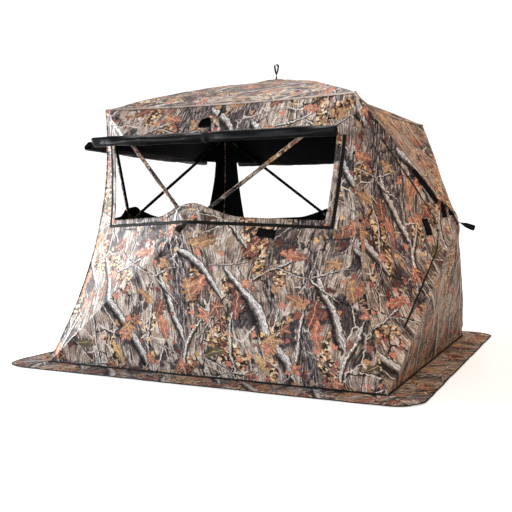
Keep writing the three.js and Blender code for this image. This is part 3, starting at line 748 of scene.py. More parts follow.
HALF_BASE, HALF_TOP = BASE / 2, TOP / 2
CORNERS = [np.array(c, float) for c in (
    (-HALF_BASE, -HALF_BASE, 0), (HALF_BASE, -HALF_BASE, 0),
    (HALF_TOP, -HALF_TOP, CORNER_HEIGHT), (-HALF_TOP, -HALF_TOP, CORNER_HEIGHT))]
WALL_BOWS = ((0, 0, 0), (-EDGE_BOW, EDGE_BOW, 0), (0, EDGE_BOW, 0), (EDGE_BOW, EDGE_BOW, 0))


def wall_edge():
    runs = []
    for i, bow in enumerate(WALL_BOWS):
        steps = round(np.linalg.norm(CORNERS[(i + 1) % 4] - CORNERS[i]) / CLOTH_STEP)
        runs.append(edge_run(CORNERS[i], CORNERS[(i + 1) % 4], bow, steps))
    return np.concatenate(runs)


def roof_edge():
    corners = [turned(CORNERS[3][None], k)[0] for k in range(4)]
    inward = [turned(np.array([[0, EDGE_BOW, 0]]), k)[0] for k in range(4)]
    steps = round(TOP / CLOTH_STEP)
    runs = [edge_run(corners[k], corners[(k + 1) % 4], inward[k], steps) for k in range(4)]
    return np.concatenate(runs)


WALL_EDGE = wall_edge()
EDGE_ANGLE = np.arctan2(WALL_EDGE[:, 2] - HUB_HEIGHT, WALL_EDGE[:, 0])


def wall_pull(x, z):
    """How far a point of the wall's front view lies from the edge, 0, towards the hub, 1."""
    x, z = np.asarray(x, float), np.asarray(z, float)
    angle = np.arctan2(z - HUB_HEIGHT, x)
    order = np.argsort(EDGE_ANGLE)
    sorted_angle = EDGE_ANGLE[order]
    after = np.searchsorted(sorted_angle, angle) % len(order)
    a = WALL_EDGE[order[after - 1]][..., [0, 2]]
    b = WALL_EDGE[order[after]][..., [0, 2]]
    hub = np.array([0, HUB_HEIGHT])
    d = np.stack([x, z], -1) - hub
    e, f = a - hub, b - a
    # hub + d * s meets a + f * r
    det = d[..., 0] * -f[..., 1] + d[..., 1] * f[..., 0]
    det = np.where(np.abs(det) < 1e-12, 1e-12, det)
    s = (e[..., 0] * -f[..., 1] + e[..., 1] * f[..., 0]) / det
    r = (d[..., 0] * e[..., 1] - d[..., 1] * e[..., 0]) / det
    edge_y = WALL_EDGE[order[after - 1]][..., 1] * (1 - r) + WALL_EDGE[order[after]][..., 1] * r
    pull = 1 - 1 / np.maximum(s, 1e-9)
    return np.clip(pull, 0, 1), edge_y


UPPER_BOW, LOWER_BOW = 0.004, 0.014
POCKET_RADIUS, ROOF_POCKET_RADIUS = 0.105, 0.10


def hub_pocket(reach, radius):
    """The cloth stands up over a hub's cap, with a blunt top."""
    return 0.013 * np.exp(-(reach / radius) ** 4) - 0.004 * np.exp(-(reach / 0.035) ** 2)


def free_of_ends(pull):
    """Where cloth may crease: 0 on the edge and at the hub, 1 between them."""
    return np.clip(pull * 14, 0, 1) * np.clip((1 - pull) * 6, 0, 1)


def wall_relief(x, z, pull, seed):
    """How far the cloth stands out of the plain pyramid: the bow of its poles, the hub's pocket,
    creases that run to the corners and small ripples."""
    below = np.clip((HUB_HEIGHT - z) / 0.12 + 0.5, 0, 1)
    bow = (UPPER_BOW + (LOWER_BOW - UPPER_BOW) * below) * 4 * pull * (1 - pull)
    dx, dz = x, z - HUB_HEIGHT
    turn = np.arctan2(dz, dx)
    rays = np.sin(turn * 31 + seed * 1.7 + 1.2 * np.sin(turn * 5)) * 0.0016
    rays *= np.exp(-((pull - 0.75) / 0.2) ** 2)
    broad = fractal(x, z, 0.62, 11 + seed, 3) * 0.0050
    foot = np.exp(-(z / 0.10) ** 2) * np.sin(x * 46 + 2.2 * np.sin(x * 7 + seed)) * 0.0045
    pocket = hub_pocket(np.hypot(dx, dz), POCKET_RADIUS)
    return bow + free_of_ends(pull) * (rays + broad) + foot * np.clip(pull * 20, 0, 1) + pocket


def wall_points(x, z, seed, lift=0.0):
    pull, edge_y = wall_pull(x, z)
    y = edge_y * (1 - pull) - HUB_REACH * pull
    points = np.stack([np.asarray(x, float), y, np.asarray(z, float)], -1)
    out = wall_relief(points[..., 0], points[..., 2], pull, seed) + lift
    return points + np.asarray(out)[..., None] * OUTWARD, pull


def cone_mesh(edge, peak, rings):
    """Points, pulls and triangles of a sheet drawn from an edge to a peak."""
    count = len(edge)
    pulls = np.linspace(0, 1, rings + 1)[:-1]
    points = (edge[None] * (1 - pulls[:, None, None]) + peak * pulls[:, None, None]).reshape(-1, 3)
    points = np.concatenate([points, peak[None]])
    pull = np.concatenate([np.repeat(pulls, count), [1.0]])
    triangles = []
    for i in range(rings - 1):
        for j in range(count):
            k = (j + 1) % count
            a, b, c, d = i * count + j, i * count + k, (i + 1) * count + k, (i + 1) * count + j
            triangles += [(a, b, c), (a, c, d)] if (i + j) % 2 else [(a, b, d), (b, c, d)]
    last = (rings - 1) * count
    triangles += [(last + j, last + (j + 1) % count, len(points) - 1) for j in range(count)]
    return points, pull, triangles


def clipped(rows, triangles, field):
    """Keeps the part of a triangle mesh where field(rows) is above 0. New rows lie on its zero line."""
    value = field(rows)
    rows = list(rows)
    made = {}

    def crossing(a, b):
        key = (min(a, b), max(a, b))
        if key not in made:
            inside, outside = (a, b) if value[a] > 0 else (b, a)
            low, high = np.array(rows[inside]), np.array(rows[outside])
            for _ in range(14):
                middle = (low + high) / 2
                if field(middle[None])[0] > 0:
                    low = middle
                else:
                    high = middle
            made[key] = len(rows)
            rows.append((low + high) / 2)
        return made[key]

    kept = []
    for triangle in triangles:
        signs = [value[i] > 0 for i in triangle]
        if all(signs):
            kept.append(triangle)
            continue
        if not any(signs):
            continue
        a = signs.index(sum(signs) == 1)
        a, b, c = triangle[a], triangle[(a + 1) % 3], triangle[(a + 2) % 3]
        ab, ac = crossing(a, b), crossing(a, c)
        if sum(signs) == 1:
            kept.append((a, ab, ac))
        else:
            kept += [(ab, b, c), (ab, c, ac)]
    used = sorted({i for t in kept for i in t})
    index = {old: new for new, old in enumerate(used)}
    return np.array([rows[i] for i in used]), [tuple(index[i] for i in t) for t in kept]


# ---- Windows ----
FRAME_STEP = 0.02
HEM_WIDTH, HEM_SIDE, TAPE_EDGE = 0.026, 0.024, 0.042


def sill_height(x, grow=0.0):
    hump = np.clip(1 - np.abs(x) / WINDOW["hump_half"], 0, 1)
    rise = np.clip(1 - np.abs(x) / WINDOW["half_sill"], 0, 1)
    return WINDOW["sill"] - grow + WINDOW["rise"] * rise + WINDOW["hump"] * hump * hump * (3 - 2 * hump)


def window_half(z, grow=0.0):
    rise = (z - WINDOW["sill"]) / (WINDOW["top"] - WINDOW["sill"])
    return WINDOW["half_sill"] + grow + (WINDOW["half_top"] - WINDOW["half_sill"]) * rise


def outside_window(rows):
    x, z = rows[:, 0], rows[:, 2]
    inside = np.minimum(np.minimum(z - sill_height(x), WINDOW["top"] - z), window_half(z) - np.abs(x))
    return -inside + 1e-7


def window_frame_path(low, side, humped=True):
    """The line round a window, anticlockwise from its upper left: down, along the sill and up.
    Without the hump it rises only a little towards the middle."""
    foot = WINDOW["sill"] - low
    down = np.linspace(WINDOW["top"], foot, round((WINDOW["top"] - foot) / FRAME_STEP))
    left = np.stack([-window_half(down, side), down], 1)
    bottom_half = window_half(foot, side)
    along = np.linspace(-bottom_half, bottom_half, round(2 * bottom_half / FRAME_STEP))
    rise = WINDOW["rise"] * (1 - np.abs(along) / bottom_half)
    height = sill_height(along, low) if humped else foot + rise
    bottom = np.stack([along, height], 1)[1:-1]
    right = np.stack([-left[::-1, 0], left[::-1, 1]], 1)
    return np.concatenate([left, bottom, right])


def band(inner, outer, seed, lift, rows=3):
    """A strip of cloth between two lines of the front view, lying on the wall."""
    share = np.linspace(0, 1, rows)
    flat = inner[:, None] * (1 - share[None, :, None]) + outer[:, None] * share[None, :, None]
    crown = lift * (0.25 + 0.75 * np.sin(np.pi * np.clip(share, 0.12, 0.88)))
    x, z = flat[..., 0].ravel(), flat[..., 1].ravel()
    points, pull = wall_points(x, z, seed, np.tile(crown, len(inner)))
    return points, pull, grid_faces(len(inner), rows), np.stack([x, z], 1)


def matched(inner, outer):
    """Two lines with as many points as each other, matched by their share of the length."""
    def spread(line, count):
        reach = path_length(line)
        even = np.linspace(0, reach[-1], count)
        return np.stack([np.interp(even, reach, line[:, k]) for k in range(line.shape[1])], 1)
    count = max(len(inner), len(outer))
    return spread(inner, count), spread(outer, count)


def print_offset(turn):
    return np.array([0.37 * turn, 0.23 * turn])


def wall_piece(name, points, faces, turn, pull, cloth, *materials):
    """A piece drawn on the front wall and turned to its own wall."""
    cloth = np.asarray(cloth) + print_offset(turn)
    piece = sheet_mesh(name, turned(points, turn), faces, *materials, cloth=cloth)
    follow(piece)
    return piece


# ---- Cloth walls ----
RINGS = 46
CREASE_ANGLE = math.radians(16)


def cut_wall(turn, field):
    """Points, pulls and triangles of the part of a wall where the field is above 0."""
    points, pull, triangles = cone_mesh(WALL_EDGE, FRONT_HUB, RINGS)
    rows = np.concatenate([points, pull[:, None]], 1)
    rows, triangles = clipped(rows, triangles, field)
    out = wall_relief(rows[:, 0], rows[:, 2], rows[:, 3], turn)
    return rows, rows[:, :3] + out[:, None] * OUTWARD, triangles


def wall_cloth(turn, opening):
    side = SIDES[turn]
    rows, points, triangles = cut_wall(turn, opening)
    points[:, 2] = np.maximum(points[:, 2], 0.002)
    piece = wall_piece(f"wall_cloth_{side}", points, triangles, turn, rows[:, 3], rows[:, [0, 2]],
                       CAMO, LINING)
    piece.data.set_sharp_from_angle(angle=CREASE_ANGLE)
    thicken(piece)
    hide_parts(f"wall_{side}")


def window_trim(turn):
    """The hem that is folded back round the opening, and the black tape sewn outside it."""
    side = SIDES[turn]
    inner = window_frame_path(0.0, 0.0)
    outer = window_frame_path(HEM_WIDTH, HEM_SIDE)
    points, pull, faces, flat = band(*matched(inner, outer), turn, 0.003, rows=5)
    hem = wall_piece(f"window_hem_{side}", points, faces, turn, pull, flat * 1.3 + 0.2, HEM, LINING)
    thicken(hem, 0.0022)
    inner = window_frame_path(HEM_WIDTH, HEM_WIDTH, humped=False)
    outer = window_frame_path(TAPE_EDGE, TAPE_EDGE, humped=False)
    points, pull, faces, flat = band(*matched(inner, outer), turn, 0.004, rows=4)
    tape = wall_piece(f"window_tape_{side}", points, faces, turn, pull, flat, TAPE, LINING)
    thicken(tape, 0.0016)


# ---- The roof ----
ROOF_BOW = 0.030


def roof_relief(points, pull):
    x, y = points[:, 0], points[:, 1]
    crease = fractal(x, y, 0.55, 31, 3) * 0.0045 * free_of_ends(pull)
    bow = ROOF_BOW * 4 * pull * (1 - pull)
    return crease + bow + hub_pocket(np.hypot(x, y), ROOF_POCKET_RADIUS)


def make_roof():
    points, pull, triangles = cone_mesh(roof_edge(), ROOF_HUB, 40)
    flat = points[:, [1, 0]] * np.array([1, -1]) + np.array([0.31, 0.44])
    points[:, 2] += roof_relief(points, pull)
    piece = sheet_mesh("roof_cloth", points, triangles, CAMO, LINING, cloth=flat)
    piece.data.set_sharp_from_angle(angle=CREASE_ANGLE)
    follow(piece)
    thicken(piece)
    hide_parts("roof")


# ---- Seams ----
CORNER_NAMES = ("front_left", "front_right", "back_right", "back_left")


def corded_seam(name, start, end, bow, lift, radius, material, turn):
    """A corded edge over a seam of the frame's edges."""
    t = np.linspace(0, 1, 70)[:, None]
    path = start * (1 - t) + end * t + 4 * t * (1 - t) * np.array(bow)
    path[:, 2] = np.maximum(path[:, 2], 0.006) + lift
    points, faces = tube(path, radius)
    along = np.repeat(path_length(path), 8)[:, None] * np.array([[0.2, 1.0]])
    cord = sheet_mesh(name, turned(points, turn), faces, material, cloth=along + 0.1 * turn)
    fix_to("root", cord)


def make_piping():
    low, high, end = CORNERS[0], CORNERS[3], CORNERS[2]
    for turn, corner in enumerate(CORNER_NAMES):
        corded_seam(f"corner_seam_{corner}", low, high, (EDGE_BOW, EDGE_BOW, 0), 0, 0.0045, HEM,
                    turn)
    for turn, side in enumerate(SIDES):
        corded_seam(f"roof_edge_seam_{side}", high, end, (0, EDGE_BOW, 0), 0.002, 0.0050, PALE_HEM,
                    turn)


# ---- Skirt ----
def skirt_height(x, y):
    """The skirt leaves the wall a little off the ground, then lies on it in shallow ripples."""
    reach = np.maximum(np.maximum(np.abs(x), np.abs(y)) - HALF_BASE, 0)
    share = np.clip(reach / SKIRT_WIDTH, 0, 1)
    angle = np.arctan2(y, x)
    ripple = 0.5 + 0.5 * np.sin(angle * 41 + 2.4 * np.sin(angle * 7) + 1.1 * np.sin(angle * 3 + 1))
    ripple *= 0.5 + 0.5 * np.sin(angle * 13 + 0.7)
    crease = fractal(x, y, 0.16, 5, 2)
    side = np.where(np.abs(x) > np.abs(y), 1.0, 0.45)
    edge = np.clip(reach / 0.02, 0, 1)
    swell = 0.0144 * ripple ** 2 * np.sin(math.pi * share ** 0.8) ** 0.7
    loose = 0.0035 * ripple * share + 0.0016 * (1 + np.clip(crease, -1, 1))
    return 0.0032 + edge * side * (swell + loose)


def skirt_outline(t):
    """Along one side's outer edge, t from -1 to 1, from the middle of one round corner to the next."""
    straight = HALF_BASE + SKIRT_WIDTH - SKIRT_CORNER
    along = np.abs(t) * (straight + SKIRT_CORNER * math.pi / 4)
    turn = np.maximum(along - straight, 0) / SKIRT_CORNER
    x = np.sign(t) * (np.minimum(along, straight) + SKIRT_CORNER * np.sin(turn))
    return x, -straight - SKIRT_CORNER * np.cos(turn)


def make_skirt():
    columns, rows = 150, 14
    t = np.linspace(-1, 1, columns)
    outer_x, outer_y = skirt_outline(t)
    share = np.linspace(0, 1, rows)[:, None] ** 0.9
    x = (t * HALF_BASE * (1 - share) + outer_x * share).ravel()
    y = (-HALF_BASE * (1 - share) + outer_y * share).ravel()
    flat = np.stack([x, y], 1)
    faces = [face[::-1] for face in grid_faces(rows, columns)]
    for turn, side in enumerate(SIDES):
        at = turned(np.stack([x, y, np.zeros_like(x)], 1), turn)
        at[:, 2] = skirt_height(at[:, 0], at[:, 1])
        piece = sheet_mesh(f"skirt_cloth_{side}", at, faces, SKIRT_CAMO, LINING,
                           cloth=flat + print_offset(turn) * 1.7)
        thicken(piece)
        fix_to("root", piece, f"skirt_{side}")
        edge = at.reshape(rows, columns, 3)[-1]
        points, faces_round = tube(edge + np.array([0, 0, 0.0002]), 0.0042, 8, 0.62)
        binding = sheet_mesh(f"skirt_binding_{side}", points, faces_round, TAPE,
                             cloth=cord_cloth(path_length(edge), 8, 0.003))
        fix_to("root", binding)
        # A black cord along the foot of the wall, where the skirt leaves it: painted shade for the dark
        # line of the fold there.
        foot_x = t * (HALF_BASE - 0.004)
        foot = np.stack([foot_x, np.full_like(t, -HALF_BASE - 0.003), np.full_like(t, 0.0075)], 1)
        points, faces_round = tube(foot, 0.0046 + 0.0016 * fractal(t, 0 * t, 0.4, turn), 6)
        cord = sheet_mesh(f"foot_shade_cord_{side}", turned(points, turn), faces_round, TAPE,
                          cloth=cord_cloth(t, 6, 0.003))
        fix_to("root", cord)


# ---- Hubs' own frames ----
UP_WALL = np.array([0.0, math.sin(WALL_LEAN), math.cos(WALL_LEAN)])


def hub_place(local, turn):
    """Points drawn round a hub, with z out of the blind, stood on a wall or, for None, on the roof."""
    local = np.asarray(local, float)
    if turn is None:
        return local + ROOF_HUB
    wall_axes = np.array([[1.0, 0, 0], UP_WALL, OUTWARD])
    return turned(FRONT_HUB + local @ wall_axes, turn)


STRAP_STEPS = 6


def strap(path, across, width, thickness):
    """Points, faces and cloth places of a flat strap that follows a path. `across` points along its
    width at each point of the path, and the strap is a closed solid with rounded edges."""
    path, across = np.asarray(path, float), np.asarray(across, float)
    run = np.gradient(path, axis=0)
    run /= np.linalg.norm(run, axis=1)[:, None]
    across = across - run * (across * run).sum(1)[:, None]
    across /= np.linalg.norm(across, axis=1)[:, None]
    out = np.cross(run, across)
    ring = []
    for i in range(STRAP_STEPS + 1):
        ring.append((i / STRAP_STEPS - 0.5, 0.5 if 0 < i < STRAP_STEPS else 0.2))
    ring += [(u, -v) for u, v in reversed(ring)]
    rows = [path + across * (u * width) + out * (v * thickness) for u, v in ring]
    points = np.stack(rows, 1).reshape(-1, 3)
    count = len(ring)
    faces = grid_faces(len(path), count, closed=True)
    faces += [tuple(range(count))[::-1], tuple((len(path) - 1) * count + i for i in range(count))]
    reach = np.repeat(path_length(path), count)
    cloth = np.stack([reach, np.tile([u * width for u, _ in ring], len(path))], 1)
    return points, faces, cloth


def lay_strap(name, path, across, width, thickness, body, stands_for):
    points, faces, cloth = strap(path, across, width, thickness)
    piece = sheet_mesh(name, points, faces, TAPE, cloth=cloth)
    piece.data.set_sharp_from_angle(angle=math.radians(50))
    fix_to(body, piece, stands_for)


# ---- Pull tabs ----
TAB = {"length": 0.090, "width": 0.023, "thickness": 0.0018, "bulge": 0.0125, "sewn": 0.031,
       "closed_gap": 0.0011, "droop": math.radians(21), "lift": 0.006, "eye": 0.005}
TAB_TWIST = {"front": 0.4, "right": 1.25, "back": 0.4, "left": 0.4, "roof": -0.85}


def tab_line():
    """A folded strap from the side: out along one layer, round its tip and back along the other."""
    far = TAB["length"] - TAB["bulge"]
    reach = np.linspace(0, far, 26)
    opened = np.clip((reach - TAB["sewn"]) / (far - TAB["sewn"]), 0, 1) ** 0.7
    gap = TAB["closed_gap"] + 0.86 * TAB["bulge"] * opened
    layer = np.stack([reach, gap], 1)
    bend = np.linspace(math.pi / 2, -math.pi / 2, 14)[1:-1]
    tip = np.stack([far + np.cos(bend) * gap[-1], np.sin(bend) * gap[-1]], 1)
    line = np.concatenate([layer, tip, layer[::-1] * np.array([1, -1])])
    return line + np.array([TAB["eye"], 0])


def make_pull_tab(side, turn):
    """A strap folded back on itself: two layers sewn together near the hub, open as a loop beyond."""
    line = tab_line()
    droop = 0.0 if turn is None else TAB["droop"] + WALL_LEAN
    out = np.array([0, -math.sin(droop), math.cos(droop)])
    across = np.array([0.0, -1, 0]) if turn is None else np.array([1.0, 0, 0])
    thick = np.cross(across, out)
    twist = TAB_TWIST[side] * np.clip((line[:, :1] / TAB["length"] - 0.12) / 0.4, 0, 1)
    width = across * np.cos(twist) + thick * np.sin(twist)
    lifted = thick * np.cos(twist) - across * np.sin(twist)
    local = out * line[:, :1] + lifted * line[:, 1:2] + np.array([0, 0, TAB["lift"]])
    width = hub_place(width, turn) - hub_place(np.zeros((1, 3)), turn)
    lay_strap(f"pull_loop_{side}", hub_place(local, turn), width, TAB["width"], TAB["thickness"],
              f"{side}_pull_tab", f"pull_tab_{side}")


# ---- Poles in their sleeves ----
def pole_line(name, hub):
    """A pole's two ends, the one at its knuckle first, from its CAD solid."""
    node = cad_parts[name]
    spots = np.array([node.matrix_world @ v.co for v in node.data.vertices])
    middle = spots.mean(0)
    _, _, axes = np.linalg.svd(spots - middle, full_matrices=False)
    share = (spots - middle) @ axes[0]
    ends = middle + axes[0] * share.min(), middle + axes[0] * share.max()
    return sorted(ends, key=lambda end: np.linalg.norm(end - hub))


SLEEVE = {"radius": 0.0105, "start": 0.075, "end": 0.045, "sides": 14, "fin": 0.007}


def make_sleeve(side, place, hub, outward, seed):
    """A cloth sleeve round a pole, gathered a little along its length, with the seam that holds it
    to the wall standing up on its outer side."""
    near, far = pole_line(f"pole_{side}_{place}", hub)
    run = (far - near) / np.linalg.norm(far - near)
    start, end = near + run * SLEEVE["start"], far - run * SLEEVE["end"]
    length = np.linalg.norm(end - start)
    steps = round(length / 0.012)
    share = np.linspace(0, 1, steps)
    path = start + (end - start) * share[:, None]
    outward = outward - run * (outward @ run)
    outward = outward / np.linalg.norm(outward)
    across = np.cross(run, outward)
    sides = SLEEVE["sides"]
    turn = np.linspace(0, 2 * math.pi, sides)
    around = np.broadcast_to(np.cos(turn) * 0.02 + seed, (steps, sides))
    rumple = fractal(share[:, None] * length + np.zeros_like(turn), around, 0.09, seed)
    radius = SLEEVE["radius"] * (1 + 0.10 * rumple)
    top = np.clip(np.cos(turn), 0, 1) ** 10
    lap = np.sign(math.pi - turn) * top * 0.0004
    ring = across * np.sin(turn)[:, None] + outward * (np.cos(turn) * 0.86)[:, None]
    seam = outward * (top * SLEEVE["fin"])[:, None] + across * lap[:, None]
    points = (path[:, None] + ring * radius[..., None] + seam).reshape(-1, 3)
    faces = grid_faces(steps, sides)
    inner = [i for i in range(len(faces)) if math.cos(turn[i % (sides - 1)] + math.pi / sides) < -0.1]
    cloth = np.stack([np.tile(turn * SLEEVE["radius"], steps), np.repeat(share * length, sides)], 1)
    piece = sheet_mesh(f"sleeve_{side}_{place}", points, faces, SLEEVE_CAMO, LINING,
                       cloth=cloth + seed * 0.13, inner_faces=inner)
    fix_to(f"{side}_pole_{place}", piece)


# ---- Rolled window covers ----
ROLL = {"radius": 0.0285, "core": 0.006, "turns": 4.6, "reach": 0.872, "height": 1.198,
        "left": -0.690, "right": 0.683, "tie": -0.010, "sag": 0.0025}


def make_roll(side, turn, cinched):
    """A window cover wound on itself: one sheet in a spiral, slack and creased, nipped in by its
    tie."""
    length = ROLL["right"] - ROLL["left"]
    columns, rows = 150, 116
    x = np.linspace(ROLL["left"], ROLL["right"], columns)
    s = np.linspace(0, 1, rows)
    angle = 2 * math.pi * ROLL["turns"] * s
    radius = ROLL["core"] + (ROLL["radius"] - ROLL["core"]) * s
    grid_x, grid_a = np.meshgrid(x, angle, indexing="ij")
    worn = fractal(grid_x, grid_a * 0.022, 0.13, 40 + turn, 3)
    lengthwise = np.sin(grid_a * 3 + grid_x * 7 + 1.3 * np.sin(grid_x * 11 + turn)) * 0.0038
    squeeze = 1 - 0.16 * np.exp(-((grid_x - ROLL["tie"]) / 0.035) ** 2) if cinched else 1.0
    grid_r = radius * squeeze * (1 + 0.075 * worn * s) + lengthwise * s ** 2
    telescoped = 0.010 * np.sin(grid_a * 0.9 + turn) * np.abs(grid_x / ROLL["right"]) ** 8
    sag = -ROLL["sag"] * np.sin((grid_x - ROLL["left"]) / length * math.pi)
    y = -ROLL["reach"] + grid_r * np.cos(grid_a) * 0.98
    z = ROLL["height"] + grid_r * np.sin(grid_a) + sag
    points = np.stack([grid_x - np.sign(grid_x) * np.abs(telescoped), y, z], -1).reshape(-1, 3)
    wound = path_length(np.stack([radius * np.cos(angle), radius * np.sin(angle)], 1))
    cloth = np.stack([grid_x, np.broadcast_to(wound, grid_x.shape)], -1).reshape(-1, 2)
    faces = grid_faces(columns, rows)
    piece = sheet_mesh(f"window_cover_{side}", turned(points, turn), faces, ROLL_CLOTH, cloth=cloth)
    thicken(piece, 0.0009, inner=0)
    fix_to(f"{side}_window_roll", piece, f"window_roll_{side}")


def make_tie():
    """The strap round the front roll's waist."""
    bend = np.linspace(0, 2 * math.pi, 41)
    radius = 0.0265
    path = np.stack([np.full_like(bend, ROLL["tie"]), -ROLL["reach"] + radius * np.cos(bend),
                     ROLL["height"] - ROLL["sag"] + radius * np.sin(bend)], 1)
    across = np.repeat([[1.0, 0, 0]], len(bend), 0)
    lay_strap("roll_strap_front", path, across, 0.024, 0.0016, "front_window_roll", "roll_tie_front")


# ---- The hood over the front cover's strap ----
HOOD = {"x": -0.075, "z": 1.262, "half": 0.066, "height": 0.070, "lift": 0.028}
HANGER = {"x": -0.028, "top": 1.372, "length": 0.050, "width": 0.014, "thickness": 0.0016}


def make_hanger():
    """The strap that the cover hangs from, above the roll."""
    t = np.linspace(0, 1, 21)
    swell = 0.006 * np.sin(t * math.pi)
    z = HANGER["top"] - HANGER["length"] * t
    points, pull = wall_points(HANGER["x"] + swell, z, 0, 0.003 + swell)
    across = np.repeat([[1.0, 0, 0]], len(t), 0)
    strip, faces, cloth = strap(points, across, HANGER["width"], HANGER["thickness"])
    piece = sheet_mesh("roll_hanger_front", strip, faces, TAPE, cloth=cloth)
    follow(piece)


def make_hood():
    """A small arched cloth hood; under it, where the cover's strap comes out, a black sheet of painted
    shade.
    """
    columns, rows = 33, 9
    arch = np.linspace(math.pi, 0, columns)
    bend, share = np.meshgrid(arch, np.linspace(0, 1, rows), indexing="ij")
    shrink = 1 - 0.28 * share
    x = (HOOD["x"] + HOOD["half"] * np.cos(bend) * shrink).ravel()
    z = (HOOD["z"] + HOOD["height"] * np.sin(bend) * shrink).ravel()
    waved = 1 + 0.12 * np.sin(bend * 9)
    lift = 0.002 + HOOD["lift"] * share ** 0.7 * np.sin(bend) ** 0.5 * waved
    points, pull = wall_points(x, z, 0, lift.ravel())
    hood = sheet_mesh("roll_hood_front", points, grid_faces(columns, rows), CAMO, LINING,
                      cloth=np.stack([x, z], 1) * 1.1)
    follow(hood)
    thicken(hood)
    # The black sheet on the wall under the hood is painted shade for the hood's dark inside.
    rows = 8
    bend, share = np.meshgrid(arch, np.linspace(0.02, 0.86, rows), indexing="ij")
    x = (HOOD["x"] - 0.016 + 0.62 * HOOD["half"] * np.cos(bend) * share).ravel()
    z = (HOOD["z"] + 0.84 * HOOD["height"] * np.sin(bend) * share).ravel()
    points, pull = wall_points(x, z, 0, 0.0022)
    shade_sheet = sheet_mesh("roll_hood_shade_front", points, grid_faces(columns, rows)[::-1], LINING,
                       cloth=np.stack([x, z], 1))
    follow(shade_sheet)
    thicken(shade_sheet, 0.0008, inner=0)


# ---- Corner boots ----
BOOT = {"start": 0.015, "depth": 0.030, "tip": 0.0052, "flare": 0.0050, "seam": 0.0006, "dish": 0.040}


def make_boot(name, corner, turn):
    """A stitched cloth pocket inside a corner, where the pole tips press."""
    aim = np.array([0, 0, HUB_HEIGHT]) - corner
    aim /= np.linalg.norm(aim)
    side = np.cross(aim, [0, 0, 1.0])
    side /= np.linalg.norm(side)
    up = np.cross(side, aim)
    rows, sides = 14, 24
    share = np.linspace(0, 1, rows)
    bend = np.linspace(0, 2 * math.pi, sides, endpoint=False)
    radius = BOOT["tip"] + BOOT["flare"] * share + BOOT["seam"] * np.sin(share * 18)
    radius[0] *= 0.55
    pleated = radius[:, None] * (1 + 0.05 * np.sin(bend * 6))
    ring = side * np.cos(bend)[:, None] + up * np.sin(bend)[:, None]
    middle = corner + aim * (BOOT["start"] + BOOT["depth"] * share)[:, None]
    points = (middle[:, None] + ring * pleated[..., None]).reshape(-1, 3)
    dish, tip = corner + aim * BOOT["dish"], corner + aim * 0.0148
    points = np.concatenate([points, dish[None], tip[None]])
    faces = grid_faces(rows, sides, closed=True)
    last = (rows - 1) * sides
    faces += [(last + i, last + (i + 1) % sides, rows * sides) for i in range(sides)]
    faces += [((i + 1) % sides, i, rows * sides + 1) for i in range(sides)]
    cloth = np.stack([np.tile(bend * 0.01, rows), np.repeat(share * BOOT["depth"], sides)], 1)
    cloth = np.concatenate([cloth, [[0, BOOT["depth"]]], [[0, 0]]])
    piece = sheet_mesh(f"corner_pocket_{name}", turned(points, turn), faces, BOOT_CLOTH, cloth=cloth)
    fix_to("root", piece, f"boot_{name}")


# ---- Door ----
def ridge_line(corner, inset, hub_inset, side):
    start, hub = np.array([corner[0], corner[2]]), np.array([0, HUB_HEIGHT])
    ridge = (hub - start) / np.linalg.norm(hub - start)
    square = np.array([-ridge[1], ridge[0]]) * side
    start, end = start + square * inset, hub + square * hub_inset
    return start, end, (end - start) / np.linalg.norm(end - start)


def meeting(one, other):
    (start, _, run), (place, _, along) = one, other
    apart = place - start
    reach = (apart[0] * along[1] - apart[1] * along[0]) / (run[0] * along[1] - run[1] * along[0])
    return start + run * reach


DOOR = {"low": 0.30, "high": 0.26, "low_inset": 0.042, "high_inset": 0.016, "nose_inset": 0.104,
        "low_nose": 0.330, "high_nose": 0.240}
SLIT = 0.0085


def door_lines(margin):
    lower = ridge_line(CORNERS[0], DOOR["low_inset"] + margin, DOOR["low_inset"] + margin, 1)
    upper = ridge_line(CORNERS[3], DOOR["high_inset"] + margin, DOOR["nose_inset"] + margin, -1)
    plain_lower = ridge_line(CORNERS[0], DOOR["low_inset"], DOOR["low_inset"], 1)
    plain_upper = ridge_line(CORNERS[3], DOOR["high_inset"], DOOR["nose_inset"], -1)
    low = plain_lower[0] + (plain_lower[1] - plain_lower[0]) * DOOR["low"]
    high = plain_upper[0] + (plain_upper[1] - plain_upper[0]) * DOOR["high"]
    return lower, upper, (low, high, (high - low) / np.linalg.norm(high - low))


def door_free_edge(margin, steps=24):
    """The door's zipped edge in the front view of its wall: along the top, round the nose, along
    the bottom."""
    lower, upper, fold = door_lines(margin)
    low_start, high_start = meeting(fold, lower), meeting(fold, upper)
    low_nose = lower[1] - lower[2] * DOOR["low_nose"]
    high_nose = upper[1] - upper[2] * DOOR["high_nose"]
    tip = meeting(lower, upper)
    t = np.linspace(0, 1, steps)[:, None]
    nose = high_nose * (1 - t) ** 2 + tip * 2 * t * (1 - t) + low_nose * t ** 2
    top = high_start + (high_nose - high_start) * np.linspace(0, 1, steps)[:-1, None]
    bottom = low_nose + (low_start - low_nose) * np.linspace(0, 1, steps)[1:, None]
    return np.concatenate([top, nose, bottom])


def inside_distance(x, z, outline):
    """Distance to a closed outline, above 0 inside it."""
    spots = np.stack([x, z], -1)
    start, end = outline, np.roll(outline, -1, 0)
    run = end - start
    share = ((spots[:, None] - start) * run).sum(-1) / (run ** 2).sum(-1)
    near = start + run * np.clip(share, 0, 1)[..., None]
    distance = np.linalg.norm(spots[:, None] - near, axis=-1).min(1)
    crosses = (start[:, 1] > z[:, None]) != (end[:, 1] > z[:, None])
    height = np.where(np.abs(run[:, 1]) < 1e-12, 1e-12, run[:, 1])
    at = start[:, 0] + (z[:, None] - start[:, 1]) / height * run[:, 0]
    inside = (crosses & (x[:, None] < at)).sum(1) % 2 == 1
    return np.where(inside, distance, -distance)


def outside_door(rows):
    return 1e-7 - inside_distance(rows[:, 0], rows[:, 2], door_free_edge(0.0))


def inside_door(rows):
    return inside_distance(rows[:, 0], rows[:, 2], door_free_edge(SLIT))


